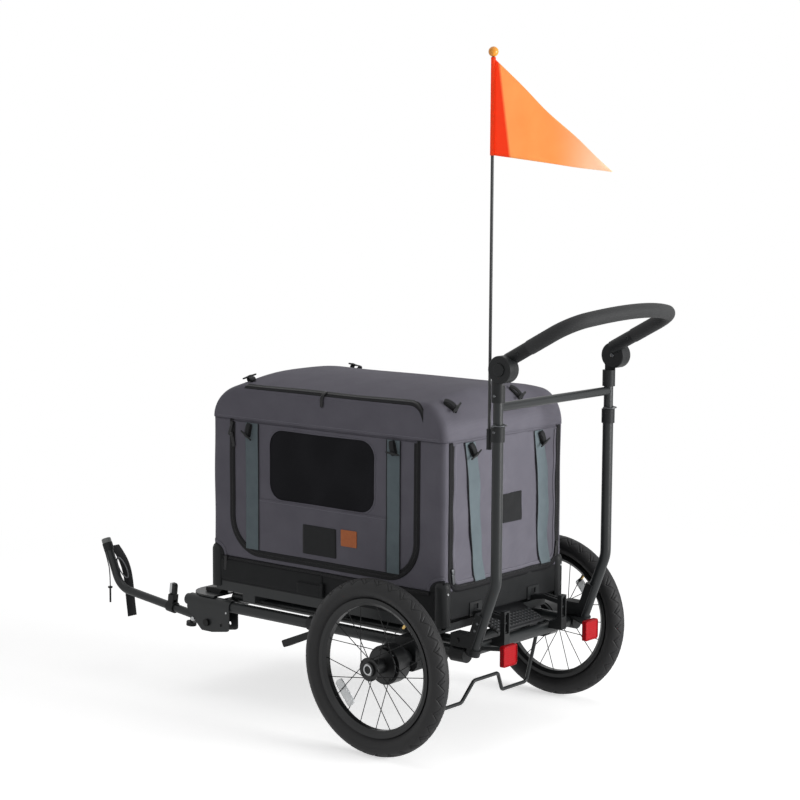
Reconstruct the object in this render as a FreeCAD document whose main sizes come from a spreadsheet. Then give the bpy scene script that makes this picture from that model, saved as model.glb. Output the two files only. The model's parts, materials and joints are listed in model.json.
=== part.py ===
import FreeCAD, Part
import math
import os
import Sketcher
from types import SimpleNamespace
from FreeCAD import Placement, Rotation, Vector

# Pet trailer towed behind a bicycle and pushed by its handle.
# Forward is +Y, right is +X. Lengths are written from the wheel axle and the ground,
# and axle_y then moves every node so that the origin lies under the middle of the trailer.

# Driving dimensions in millimetres
sizes = {
    "axle_y": -266.4,
    "running_gap": 0.3,
    "seat_gap": 0.05,
    "overrun": 4.0,
    # wheels
    "wheel_radius": 203.0,
    "track": 700.0,
    "tyre_section": 46.0,
    "tyre_wall": 3.0,
    "tyre_height": 50.5,
    "bead_width": 4.0,
    "bead_height": 9.0,
    "rim_width": 27.0,
    "rim_flange": 3.0,
    "rim_lip": 6.0,
    "rim_well_width": 10.0,
    "rim_well_depth": 4.5,
    "rim_depth": 10.5,
    "rim_floor_width": 14.0,
    "rim_shoulder": 2.5,
    "spoke_radius": 1.0,
    "spoke_rim_offset": 1.6,
    "outer_flange_radius": 27.0,
    "inner_flange_radius": 39.0,
    "flange_width": 3.6,
    "flange_spread": 44.0,
    "spoke_inset": 3.5,
    "spoke_run": 7.6,
    "hub_barrel_radius": 16.8,
    "hub_cap_radius": 17.2,
    "hub_cap_width": 5.0,
    "drum_radius": 45.0,
    "drum_width": 33.0,
    "drum_offset": 5.0,
    "drum_neck_radius": 27.0,
    "drum_wall": 5.0,
    "bearing_radius": 14.0,
    "bearing_width": 9.0,
    "axle_radius": 6.0,
    "spoke_reflector_length": 66.0,
    "spoke_reflector_height": 22.0,
    "spoke_reflector_width": 4.0,
    "spoke_reflector_drop": 36.5,
    "axle_drop": 30.0,
    # brake plates and wheel brackets
    "brake_gap": 1.0,
    "brake_plate_width": 8.0,
    "brake_plate_radius": 43.0,
    "brake_boss_radius": 22.0,
    "brake_arm_length": 62.0,
    "brake_arm_width": 14.0,
    "brake_arm_thickness": 5.0,
    "bracket_outer_reach": 28.0,
    "bracket_inner_reach": 19.0,
    "bracket_depth": 62.0,
    "bracket_top": 254.0,
    "bracket_bottom": 176.0,
    "bracket_round": 12.0,
    # frame tubes
    "main_radius": 14.0,
    "main_wall": 2.0,
    "tube_inset": 132.0,
    "main_z": 233.0,
    "main_front": 728.0,
    "main_rear": -118.0,
    "rear_cross_y": -140.0,
    "front_cross_y": 612.0,
    "front_plate_rear_y": 628.0,
    "front_plate_front_y": 728.0,
    "front_plate_margin": 10.0,
    "front_plate_thickness": 4.0,
    "front_plate_round": 62.0,
    "cradle_radius": 11.0,
    "cradle_wall": 2.0,
    "cradle_inset": 48.0,
    "cradle_z": 247.0,
    "beam_radius": 12.0,
    "beam_wall": 2.0,
    # rear sockets and posts
    "socket_radius": 19.0,
    "socket_tail": -158.0,
    "socket_inset": 22.0,
    "socket_boss_radius": 17.0,
    "socket_boss_length": 12.0,
    "post_radius": 12.5,
    "post_wall": 1.2,
    "post_y": -235.0,
    "post_bend_z": 405.0,
    "post_foot_y": -173.0,
    "post_foot_z": 240.0,
    "post_bend_radius": 70.0,
    "post_top_drop": 15.0,
    "collar_radius": 15.5,
    "collar_height": 33.0,
    "collar_top_z": 755.0,
    "clamp_height": 83.0,
    "clamp_back": 2.0,
    "clamp_front": 17.0,
    "clamp_width": 33.0,
    "clamp_lug_front_y": -120.0,
    "clamp_lug_rear_y": -172.0,
    "clamp_lug_height": 30.0,
    "clamp_round": 3.0,
    "clamp_bolt_radius": 5.0,
    "clamp_bolt_head": 3.0,
    "reflector_arm_z": 244.0,
    "reflector_arm_thickness": 4.0,
    "reflector_inset": 55.0,
    "reflector_y": -226.0,
    "reflector_width": 52.0,
    "reflector_height": 48.0,
    "reflector_depth": 10.0,
    "reflector_top_z": 257.0,
    "reflector_round": 5.0,
    # latches between cabin and rear cross tube
    "latch_inset": 105.0,
    "latch_width": 20.0,
    "latch_rear_y": -190.0,
    "latch_face_y": -178.0,
    "latch_top_z": 318.5,
    "latch_foot_z": 236.0,
    "latch_shoulder_z": 262.0,
    "latch_slot_width": 9.0,
    "latch_slot_bottom_z": 270.0,
    "latch_slot_top_z": 310.0,
    "latch_rib": 3.5,
    "latch_plate_width": 46.0,
    "latch_plate_thickness": 3.0,
    "latch_plate_top_z": 329.0,
    "latch_window_width": 18.0,
    "latch_window_height": 12.0,
    "hook_width": 7.0,
    "hook_thickness": 10.0,
    "hook_z": 308.0,
    "hook_rise": 6.0,
    "hook_y": -138.0,
    "front_hook_width": 30.0,
    "front_hook_inset": 40.0,
    "front_hook_z": 296.0,
    "front_hook_knee_y": 652.0,
    "front_hook_tip_y": 690.0,
    "mat_clearance": 21.0,
    "mat_thickness": 4.0,
    "mat_low_y": -150.0,
    "mat_low_z": 256.0,
    "mat_knee_y": -100.0,
    "mat_knee_z": 276.0,
    "mat_tail_y": -62.0,
    "mat_end_y": -40.0,
    "mat_rib_height": 2.5,
    "mat_rib_width": 5.0,
    # stand and pedal
    "stand_radius": 4.5,
    "stand_inset": 38.0,
    "stand_y": -71.0,
    "stand_z": 222.0,
    "stand_low_y": -36.0,
    "stand_low_z": 71.0,
    "stand_bump_z": 120.0,
    "stand_bump_foot": 80.0,
    "stand_bump_half": 47.0,
    "stand_bend_radius": 12.0,
    "stand_clip_length": 9.0,
    "stand_clip_radius": 9.0,
    "pedal_y": 303.0,
    "pedal_z": 211.0,
    "pedal_end_y": 395.0,
    "pedal_end_z": 171.0,
    "pedal_height": 16.0,
    "pedal_width": 24.0,
    "pedal_wall": 3.0,
    "pedal_pin_radius": 3.0,
    "pedal_clip_wall": 3.0,
    "pedal_clip_length": 26.0,
    # tow bracket and arm
    "cheek_gap": 0.1,
    "cheek_wall": 3.0,
    "cheek_rear_y": 570.0,
    "cheek_front_y": 715.0,
    "cheek_low_z": 165.0,
    "cheek_heel_y": 628.0,
    "cheek_toe_y": 664.0,
    "cheek_rear_z": 174.0,
    "cheek_nose_y": 705.0,
    "cheek_nose_z": 202.0,
    "cheek_front_z": 216.0,
    "cheek_round": 9.0,
    "tow_pivot_y": 645.0,
    "tow_pivot_z": 187.0,
    "tow_bolt_radius": 5.0,
    "tow_bolt_head": 6.0,
    "tow_bolt_head_radius": 9.0,
    "tow_lock_hole_y": 596.0,
    "tow_lock_hole_radius": 4.5,
    "tow_radius": 10.5,
    "tow_wall": 2.0,
    "tow_tail": 17.0,
    "tow_bend_y": 977.0,
    "tow_bend_z": 226.0,
    "tow_bend_radius": 60.0,
    "tow_end_y": 1026.0,
    "tow_end_z": 337.0,
    "hitch_collar_radius": 13.2,
    "hitch_collar_length": 20.0,
    "hitch_cap_radius": 12.3,
    "hitch_cap_length": 13.0,
    "hitch_bore_radius": 5.0,
    "hitch_bore_depth": 22.0,
    "lever_y": 785.0,
    "lever_clamp_length": 24.0,
    "lever_clamp_wall": 4.0,
    "lever_pivot_rise": 10.0,
    "lever_height": 46.0,
    "lever_width": 11.0,
    "lever_depth": 17.0,
    "lever_pin_radius": 2.5,
    "lever_ear": 4.0,
    "knob_y": 714.0,
    "knob_radius": 13.0,
    "knob_height": 10.0,
    "knob_stem_radius": 4.0,
    "knob_stem": 8.5,
    "cord_gap": 0.2,
    "strap_width": 30.0,
    "strap_thickness": 2.6,
    "lanyard_radius": 1.4,
    "pin_radius": 2.5,
    "pin_length": 38.0,
    "pin_head_radius": 6.0,
    "pin_head": 4.0,
    # handle
    "upper_radius": 11.0,
    "upper_wall": 1.6,
    "upper_bottom_z": 560.0,
    "sleeve_rise": 54.0,
    "sleeve_height": 38.0,
    "sleeve_radius": 15.0,
    "crossbar_radius": 10.0,
    "crossbar_drop": 11.0,
    "lock_pin_radius": 3.0,
    "lock_ring_radius": 19.0,
    "lock_ring_wire": 1.3,
    "tilt_back": 16.0,
    "tilt_rise": 74.0,
    "tilt_radius": 30.5,
    "tilt_inner_inset": 13.0,
    "tilt_split_reach": 4.0,
    "tilt_outer_reach": 21.0,
    "tilt_round": 3.0,
    "tilt_pin_radius": 6.0,
    "bar_inset": 12.0,
    "bar_radius": 11.0,
    "bar_wall": 1.6,
    "bar_start": 46.0,
    "bar_reach": 193.0,
    "bar_lift": 16.0,
    "bar_bend_radius": 65.0,
    "stub_radius": 15.5,
    "stub_start": 10.0,
    "stub_end": 76.0,
    "grip_radius": 16.5,
    "button_radius": 14.0,
    "button_travel": 3.0,
    "button_proud": 3.5,
    "button_height": 7.0,
    # flag
    "flag_inset": 6.0,
    "flag_y": -207.0,
    "pole_radius": 3.5,
    "pole_top_z": 1560.0,
    "pocket_radius": 6.0,
    "pocket_length": 46.0,
    "pocket_drop": 7.0,
    "pocket_floor": 4.0,
    "pocket_web": 6.0,
    "ball_radius": 11.0,
    "pennant_height": 205.0,
    "pennant_sleeve_wall": 1.2,
    "pennant_reach": 297.2,
    "pennant_tip_drop": 33.0,
    "pennant_tip_height": 4.0,
    "pennant_thickness": 1.0,
    "pennant_wave": 9.0,
    # cabin
    "cabin_margin": 12.5,
    "cabin_rear_y": -98.0,
    "cabin_front_y": 625.0,
    "rail_bottom_z": 276.0,
    "tub_bottom_z": 300.0,
    "tub_top_z": 366.0,
    "tub_wall": 4.0,
    "tub_round": 22.0,
    "rail_width": 20.0,
    "rail_wall": 2.0,
    "rail_inset": 1.5,
    "rail_end": 8.0,
    "slat_width": 40.0,
    "slat_height": 17.9,
    "housing_radius": 18.0,
    "housing_inset": 11.0,
    "housing_bottom_z": 286.0,
    "housing_top_z": 394.0,
    "cloth": 3.0,
    "cloth_gap": 0.4,
    "seam_z": 707.0,
    "eave_z": 787.0,
    "roof_crown": 27.0,
    "rear_corner": 63.0,
    "front_corner": 109.0,
    "door_rear_y": -20.0,
    "door_front_y": 556.0,
    "door_low_z": 384.0,
    "door_round": 88.0,
    "zip_gap": 1.0,
    "window_rear_y": 105.0,
    "window_front_y": 435.0,
    "window_low_z": 522.0,
    "window_top_z": 692.0,
    "window_round": 40.0,
    "mesh": 1.2,
    "rear_door_inset": 27.5,
    "rear_door_low_z": 374.0,
    "rear_door_round": 30.0,
    "hoop_radius": 8.0,
    "hoop_wall": 1.5,
    "hoop_inset": 7.0,
    "hoop_bend_radius": 70.0,
}

# Counts and shares, which stay as they are when the lengths change
flange_spokes = 10
spoke_turn_degrees = 44.0
slat_shares = (0.14, 0.5, 0.86)
ridge_shares = (0.22, 0.78)
roof_shares = (-1.0, -0.66, -0.33, 0.0, 0.33, 0.66, 1.0)
pennant_shares = (0.0, 0.2, 0.42, 0.66, 0.85, 1.0)
wave_shares = (0.0, 0.8, -0.5, 1.0, -0.4, 0.2)
mat_rib_shares = (0.16, 0.33, 0.5, 0.67, 0.84)
toe_shares = (0.95, 1.04)
channel_shares = (0.9, 0.98)
arc_share = 0.45
bow_share = 0.97
arm_round_share = 0.45
lens_round_share = 0.3
lever_round_share = 0.4
reflector_arm_share = 0.3
stagger_share = 0.5
web_share = 0.7
lens_turn_degrees = 129.0
bar_rise_degrees = 28.6
bar_bow_degrees = 17.0

# Free runs of the strap and the lanyard, chosen by hand as (forward, height)
strap_route = ((1029.0, 326.0), (1004.0, 304.0), (985.0, 274.0), (976.0, 240.0), (971.0, 193.0),
               (964.0, 148.0))
lanyard_route = ((1018.0, 318.0), (1009.0, 296.0), (1000.0, 268.0), (1000.0, 228.0))


document = FreeCAD.newDocument("bike_trailer")
sheet = document.addObject("Spreadsheet::Sheet", "Sizes")
for row, (name, value) in enumerate(sizes.items(), start=1):
    sheet.set(f"A{row}", name)
    sheet.set(f"B{row}", str(value))
    sheet.setAlias(f"B{row}", name)
document.recompute()


class Length:
    # A value of the sheet, or a sum of such values, with the formula that gives it

    def __init__(self, value, formula):
        self.value = float(value)
        self.formula = formula

    def __float__(self):
        return self.value

    def joined(self, other, sign, value):
        text = other.formula if isinstance(other, Length) else repr(other)
        return Length(value, f"({self.formula} {sign} {text})")

    def __neg__(self):
        return Length(-self.value, f"(-{self.formula})")

    def __add__(self, other):
        return self.joined(other, "+", self.value + float(other))

    def __sub__(self, other):
        return self.joined(other, "-", self.value - float(other))

    def __mul__(self, other):
        return self.joined(other, "*", self.value * float(other))

    def __truediv__(self, other):
        return self.joined(other, "/", self.value / float(other))


s = SimpleNamespace(**{name: Length(getattr(sheet, name), f"Sizes.{name}") for name in sizes})
s.zero = s.overrun - s.overrun

# The tyre sets the rim's size, and the wheels carry the frame at the height of its axle
s.bead_radius = s.wheel_radius - s.tyre_height
s.spoke_reflector_reach = s.bead_radius - s.spoke_reflector_drop
s.axle_z = s.main_z - s.axle_drop
s.ride_z = s.wheel_radius - s.axle_z

# Places across the trailer follow the track
s.main_x = s.track / 2 - s.tube_inset
s.bracket_outer_x = s.main_x + s.bracket_outer_reach
s.bracket_inner_x = s.main_x - s.bracket_inner_reach
s.front_plate_half_width = s.main_x + s.front_plate_margin
s.cradle_x = s.main_x - s.cradle_inset
s.socket_inner_x = s.main_x - s.socket_inset
s.reflector_x = s.main_x - s.reflector_inset
s.front_hook_x = s.main_x - s.front_hook_inset
s.stand_x = s.main_x - s.stand_inset
s.flag_x = -s.main_x + s.flag_inset
s.latch_x = s.main_x - s.latch_inset
s.mat_half_width = s.latch_x - s.mat_clearance
s.tilt_inner_x = s.main_x - s.tilt_inner_inset
s.tilt_split_x = s.main_x + s.tilt_split_reach
s.tilt_outer_x = s.main_x + s.tilt_outer_reach
s.bar_x = s.main_x - s.bar_inset
s.cabin_half_width = s.main_x + s.cabin_margin
s.rail_outer_x = s.cabin_half_width - s.rail_inset
s.rear_door_half_width = s.cabin_half_width - s.rear_door_inset
s.drum_back_x = (s.track / 2 - s.flange_spread / 2 - s.flange_width / 2 - s.drum_offset - s.drum_width
                 - s.brake_gap)

# Heights on the handle posts follow the top of their collars
s.collar_bottom_z = s.collar_top_z - s.collar_height
s.post_top_z = s.collar_top_z - s.post_top_drop
s.sleeve_bottom_z = s.collar_top_z + s.sleeve_rise
s.sleeve_top_z = s.sleeve_bottom_z + s.sleeve_height
s.crossbar_z = s.sleeve_bottom_z - s.crossbar_drop
s.tilt_y = s.post_y - s.tilt_back
s.tilt_z = s.sleeve_bottom_z + s.tilt_rise
s.pocket_top_z = s.collar_top_z - s.pocket_drop
s.pocket_bottom_z = s.pocket_top_z - s.pocket_length
s.pole_bottom_z = s.pocket_bottom_z + s.pocket_floor

nodes = {}
along = {
    "x": Rotation(Vector(0, 1, 0), 90),
    "y": Rotation(Vector(1, 0, 0), -90),
    "z": Rotation(),
}
half_turn = Rotation(Vector(0, 0, 1), 180)


# Features bound to the sheet

def bind(item, name, length):
    item.setExpression(name, length.formula)


def place(item, x=0, y=0, z=0, turn=None):
    item.Placement = Placement(Vector(float(x), float(y), float(z)), turn or Rotation())
    for axis, length in zip("xyz", (x, y, z)):
        if isinstance(length, Length):
            bind(item, f"Placement.Base.{axis}", length)
    return item


def rod(radius, length, axis, x, y, z):
    item = document.addObject("Part::Cylinder", "rod")
    bind(item, "Radius", radius)
    bind(item, "Height", length)
    return place(item, x, y, z, along[axis])


def block(x0, x1, y0, y1, z0, z1):
    item = document.addObject("Part::Box", "block")
    bind(item, "Length", x1 - x0)
    bind(item, "Width", y1 - y0)
    bind(item, "Height", z1 - z0)
    return place(item, x0, y0, z0)


def ball(radius, x, y, z):
    item = document.addObject("Part::Sphere", "ball")
    bind(item, "Radius", radius)
    return place(item, x, y, z)


def ring(radius, wire, turn, x=0, y=0, z=0, degrees=360):
    item = document.addObject("Part::Torus", "ring")
    bind(item, "Radius1", radius)
    bind(item, "Radius2", wire)
    item.Angle3 = degrees
    return place(item, x, y, z, turn)


def cut(base, *tools):
    for tool in tools:
        item = document.addObject("Part::Cut", "cut")
        item.Base = base
        item.Tool = tool
        base = item
    return base


def fuse(*items):
    item = document.addObject("Part::MultiFuse", "fuse")
    item.Shapes = list(items)
    item.Refine = True
    return item


def common(*items):
    item = document.addObject("Part::MultiCommon", "common")
    item.Shapes = list(items)
    return item


def group(*items):
    item = document.addObject("Part::Compound", "group")
    item.Links = list(items)
    return item


def mirrored(source, normal=Vector(1, 0, 0)):
    item = document.addObject("Part::Mirroring", "mirrored")
    item.Source = source
    item.Normal = normal
    return item


def pair(source):
    return group(source, mirrored(source))


def tube(radius, wall, length, axis, x, y, z):
    outside = rod(radius, length, axis, x, y, z)
    start = [spot - s.overrun if name == axis else spot for name, spot in zip("xyz", (x, y, z))]
    inside = rod(radius - wall, length + s.overrun * 2, axis, *start)
    return cut(outside, inside)


def rounded(source, radius, wanted):
    document.recompute()
    item = document.addObject("Part::Fillet", "rounded")
    item.Base = source
    edges = [number for number, edge in enumerate(source.Shape.Edges, start=1) if wanted(edge)]
    item.Edges = [(number, float(radius), float(radius)) for number in edges]
    return item


def runs_along(axis):
    direction = Vector(*[float(name == axis) for name in "xyz"])

    def wanted(edge):
        if edge.Curve.TypeId != "Part::GeomLine":
            return False
        return abs(edge.Curve.Direction.dot(direction)) > 1 - 1e-6

    return wanted


def feature(shape):
    item = document.addObject("Part::Feature", "feature")
    item.Shape = shape if shape.Placement.isIdentity() else Part.makeCompound([shape])
    return item


def node(label, item, x=0, z=None, turn=None):
    holder = item
    if item.TypeId in ("Part::Cylinder", "Part::Box", "Part::Sphere", "Part::Torus", "Part::Fillet"):
        holder = group(item)
    holder.Label = label
    place(holder, x, s.axle_y, s.ride_z if z is None else z, turn)
    nodes[label] = holder
    return holder


# Sketched bodies

def sketch_on(body, role):
    sketch = body.newObject("Sketcher::SketchObject", "outline")
    plane = [item for item in body.Origin.OriginFeatures if item.Role == role][0]
    sketch.AttachmentSupport = [(plane, "")]
    sketch.MapMode = "FlatFace"
    return sketch


def fix_point(sketch, geometry, position, across, up):
    for kind, length in (("DistanceX", across), ("DistanceY", up)):
        number = sketch.addConstraint(Sketcher.Constraint(kind, -1, 1, geometry, position, float(length)))
        if isinstance(length, Length):
            sketch.setExpression(f"Constraints[{number}]", length.formula)


def draw(sketch, corners):
    places = [Vector(float(across), float(up), 0) for across, up in corners]
    count = len(places)
    first = sketch.GeometryCount
    for number in range(count):
        sketch.addGeometry(Part.LineSegment(places[number], places[(number + 1) % count]), False)
    for number in range(count):
        following = (number + 1) % count
        sketch.addConstraint(Sketcher.Constraint("Coincident", first + number, 2, first + following, 1))
    for number, (across, up) in enumerate(corners):
        fix_point(sketch, first + number, 1, across, up)


def draw_hole(sketch, across, up, radius):
    circle = Part.Circle(Vector(float(across), float(up), 0), Vector(0, 0, 1), float(radius))
    number = sketch.addGeometry(circle, False)
    fix_point(sketch, number, 3, across, up)
    constraint = sketch.addConstraint(Sketcher.Constraint("Radius", number, float(radius)))
    bind(sketch, f"Constraints[{constraint}]", radius)


def turned(corners):
    # Corners are (place along X, radius), turned about X
    body = document.addObject("PartDesign::Body", "turned")
    sketch = sketch_on(body, "XY_Plane")
    draw(sketch, corners)
    revolution = body.newObject("PartDesign::Revolution", "turn")
    revolution.Profile = sketch
    revolution.ReferenceAxis = (sketch, ["H_Axis"])
    revolution.Angle = 360
    return body


def plate(role, corners, thickness, start, holes=(), corner_round=None, keep=()):
    # A padded outline that starts at the given distance along its normal
    body = document.addObject("PartDesign::Body", "plate")
    sketch = sketch_on(body, role)
    draw(sketch, corners)
    for hole in holes:
        draw_hole(sketch, *hole)
    pad = body.newObject("PartDesign::Pad", "pad")
    pad.Profile = sketch
    bind(pad, "Length", thickness)
    sketch.AttachmentOffset = Placement(Vector(0, 0, float(start)), Rotation())
    if isinstance(start, Length):
        bind(sketch, "AttachmentOffset.Base.z", start)
    if corner_round is not None:
        round_corners(body, pad, sketch, corners, corner_round, keep)
    return body


def round_corners(body, pad, sketch, corners, radius, keep):
    # Rounds the edges that stand on the outline's corners, but for those in keep
    document.recompute()
    to_space = sketch.Placement
    wanted = [to_space.multVec(Vector(float(across), float(up), 0)) for number, (across, up)
              in enumerate(corners) if number not in keep]
    normal = to_space.Rotation.multVec(Vector(0, 0, 1))
    names = []
    for number, edge in enumerate(pad.Shape.Edges, start=1):
        if edge.Curve.TypeId != "Part::GeomLine" or abs(edge.Curve.Direction.dot(normal)) < 1 - 1e-6:
            continue
        ends = [vertex.Point for vertex in edge.Vertexes]
        if any((corner - end).Length < 1e-4 for corner in wanted for end in ends):
            names.append(f"Edge{number}")
    fillet = body.newObject("PartDesign::Fillet", "corners")
    fillet.Base = (pad, names)
    bind(fillet, "Radius", radius)


# Bent tubes and cloth

def bent_path(points, *bend_radii):
    # Straight runs joined by tangent arcs, of one bend radius or of one for each corner
    edges = []
    start = points[0]
    corners = len(points) - 2
    radii = bend_radii if len(bend_radii) == corners else bend_radii[:1] * corners
    for before, corner, after, bend_radius in zip(points, points[1:], points[2:], radii):
        inward = (corner - before).normalize()
        outward = (after - corner).normalize()
        turn = inward.getAngle(outward)
        radius = float(bend_radius)
        setback = radius * math.tan(turn / 2)
        entry = corner - inward * setback
        leave = corner + outward * setback
        middle = (outward - inward).normalize()
        deepest = corner + middle * (radius / math.cos(turn / 2) - radius)
        edges.append(Part.LineSegment(start, entry).toShape())
        edges.append(Part.Arc(entry, deepest, leave).toShape())
        start = leave
    edges.append(Part.LineSegment(start, points[-1]).toShape())
    return Part.Wire(edges)


def cord_path(points):
    # Each arc is as large as its two runs allow
    edges = []
    radii = []
    start = points[0]
    for before, corner, after in zip(points, points[1:], points[2:]):
        inward = (corner - before).normalize()
        outward = (after - corner).normalize()
        turn = inward.getAngle(outward)
        shorter = min((corner - before).Length, (after - corner).Length)
        setback = arc_share * shorter
        radius = setback / math.tan(turn / 2)
        radii.append(radius)
        entry = corner - inward * setback
        leave = corner + outward * setback
        middle = (outward - inward).normalize()
        deepest = corner + middle * (radius / math.cos(turn / 2) - radius)
        edges.append(Part.LineSegment(start, entry).toShape())
        edges.append(Part.Arc(entry, deepest, leave).toShape())
        start = leave
    edges.append(Part.LineSegment(start, points[-1]).toShape())
    print("bend radii", [round(radius) for radius in radii])
    return Part.Wire(edges)


def sweep(path, radius):
    first = path.Edges[0]
    circle = Part.Circle(first.valueAt(first.FirstParameter), first.tangentAt(first.FirstParameter),
                         float(radius))
    return path.makePipe(Part.Face(Part.Wire(circle.toShape())))


def bent_tube(points, bend_radius, radius, wall=None):
    path = bent_path(points, bend_radius)
    shape = sweep(path, radius)
    if wall is not None:
        shape = shape.cut(sweep(path, float(radius) - float(wall)))
    return feature(shape)


def frame_points(*places):
    return [Vector(float(x), float(y), float(z)) for x, y, z in places]


# Frame tubes

def main_frame():
    length = s.main_front - s.main_rear
    node("main_tubes", pair(tube(s.main_radius, s.main_wall, length, "y", -s.main_x, s.main_rear, s.main_z)))

    # Rear cross tube between the sockets, front cross tube from the tow bracket to the right main tube
    rear = tube(s.main_radius, s.main_wall, s.socket_inner_x * 2, "x", -s.socket_inner_x, s.rear_cross_y,
                s.main_z)
    cheek_x = s.main_x - s.main_radius - s.cheek_gap - s.cheek_wall - s.seat_gap
    front = tube(s.main_radius, s.main_wall, s.main_x + cheek_x, "x", -cheek_x, s.front_cross_y, s.main_z)
    saddle = rod(s.main_radius + s.seat_gap, length, "y", s.main_x, s.main_rear, s.main_z)
    barrel_top = s.main_z + s.main_radius + s.cheek_gap + s.cheek_wall
    plate_half = s.front_plate_half_width
    plate_corners = [
        (-plate_half, s.front_plate_rear_y),
        (plate_half, s.front_plate_rear_y),
        (plate_half, s.front_plate_front_y),
        (-plate_half, s.front_plate_front_y),
    ]
    deck = plate("XY_Plane", plate_corners, s.front_plate_thickness, barrel_top + s.seat_gap, (),
                 s.front_plate_round, keep=(0, 1))
    node("cross_members", group(rear, cut(front, saddle), deck))

    span = s.front_cross_y - s.rear_cross_y
    rail = tube(s.cradle_radius, s.cradle_wall, span, "y", -s.cradle_x, s.rear_cross_y, s.cradle_z)
    seats = [rod(s.main_radius + s.seat_gap, s.main_x * 2, "x", -s.main_x, y, s.main_z)
             for y in (s.rear_cross_y, s.front_cross_y)]
    node("cradle_rails", pair(cut(rail, *seats)))

    node("axle_beam", tube(s.beam_radius, s.beam_wall, s.bracket_inner_x * 2, "x", -s.bracket_inner_x, s.zero,
                           s.axle_z))


def wheel_brackets():
    # Clamp block on the main tube that carries the axle and the brake back plate
    half = s.bracket_depth / 2
    body = block(-s.bracket_outer_x, -s.bracket_inner_x, -half, half, s.bracket_bottom, s.bracket_top)
    body = rounded(body, s.bracket_round, runs_along("x"))
    bore = rod(s.main_radius + s.seat_gap, s.bracket_depth + s.overrun * 2, "y", -s.main_x, -half - s.overrun,
               s.main_z)
    plate_x = s.drum_back_x
    disc = rod(s.brake_plate_radius, s.brake_plate_width, "x", -plate_x, s.zero, s.axle_z)
    boss = rod(s.brake_boss_radius, plate_x - s.bracket_outer_x, "x", -plate_x, s.zero, s.axle_z)
    arm_x = plate_x - s.brake_plate_width
    arm = block(-arm_x, -arm_x + s.brake_arm_thickness, -s.brake_arm_length, s.zero,
                s.axle_z - s.brake_arm_width / 2, s.axle_z + s.brake_arm_width / 2)
    arm = rounded(arm, s.brake_arm_width * arm_round_share,
                  lambda edge: runs_along("x")(edge) and edge.CenterOfMass.y < -float(s.brake_arm_width))
    shaft = rod(s.axle_radius + s.seat_gap, plate_x, "x", -plate_x - s.overrun, s.zero, s.axle_z)
    node("wheel_brackets", pair(cut(fuse(cut(body, bore), disc, boss, arm), shaft)))


def axle_sets():
    # Stub axle with the two hub bearings on it
    half = s.flange_spread / 2
    outer_end = s.track / 2 + half + s.hub_cap_width / 2
    axle = rod(s.axle_radius, outer_end - s.bracket_inner_x, "x", -outer_end, s.zero, s.axle_z)
    bearings = []
    for middle in (s.track / 2 + half, s.track / 2 - half):
        outside = rod(s.bearing_radius, s.bearing_width, "x", -middle - s.bearing_width / 2, s.zero, s.axle_z)
        inside = rod(s.axle_radius + s.seat_gap, s.bearing_width + s.overrun * 2, "x",
                     -middle - s.bearing_width / 2 - s.overrun, s.zero, s.axle_z)
        bearings.append(cut(outside, inside))
    left = group(axle, *bearings)
    node("axle_sets", pair(left))


# Wheels, built with the outer side at +X

def tyre():
    middle = s.wheel_radius - s.tyre_section / 2
    casing = ring(middle, s.tyre_section / 2, along["x"])
    air = ring(middle, s.tyre_section / 2 - s.tyre_wall, along["x"])
    bead_half = s.rim_width / 2 - s.rim_flange - s.running_gap
    open_half = bead_half - s.bead_width
    mouth = rod(s.bead_radius + s.bead_height + s.overrun, open_half * 2, "x", -open_half, s.zero, s.zero)
    bead = rod(s.bead_radius + s.bead_height, bead_half * 2, "x", -bead_half, s.zero, s.zero)
    seat = rod(s.bead_radius + s.seat_gap, s.rim_width, "x", -s.rim_width / 2, s.zero, s.zero)
    return group(fuse(cut(casing, air, mouth), cut(bead, seat, mouth)))


def rim():
    outer = s.rim_width / 2
    lip = outer - s.rim_flange
    top = s.bead_radius + s.rim_lip
    well = s.rim_well_width / 2
    well_radius = s.bead_radius - s.rim_well_depth
    shoulder = s.bead_radius - s.rim_shoulder
    floor = s.rim_floor_width / 2
    floor_radius = s.bead_radius - s.rim_depth
    right_side = [(well, well_radius), (well, s.bead_radius), (lip, s.bead_radius), (lip, top), (outer, top),
                  (outer, shoulder), (floor, floor_radius)]
    left_side = [(-across, radius) for across, radius in reversed(right_side)]
    return turned(right_side + left_side)


def hub():
    half = s.flange_spread / 2
    edge = s.flange_width / 2
    bore = s.bearing_radius + s.seat_gap
    drum_front = -half - edge - s.drum_offset
    drum_open = drum_front - s.drum_width
    drum_floor = drum_front - s.drum_wall
    corners = [
        (half + edge + s.hub_cap_width, bore),
        (half + edge + s.hub_cap_width, s.hub_cap_radius),
        (half + edge, s.hub_cap_radius),
        (half + edge, s.outer_flange_radius),
        (half - edge, s.outer_flange_radius),
        (half - edge, s.hub_barrel_radius),
        (-half + edge, s.hub_barrel_radius),
        (-half + edge, s.inner_flange_radius),
        (-half - edge, s.inner_flange_radius),
        (-half - edge, s.drum_neck_radius),
        (drum_front, s.drum_neck_radius),
        (drum_front, s.drum_radius),
        (drum_open, s.drum_radius),
        (drum_open, s.drum_radius - s.drum_wall),
        (drum_floor, s.drum_radius - s.drum_wall),
        (drum_floor, bore),
    ]
    return turned(corners)


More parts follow.
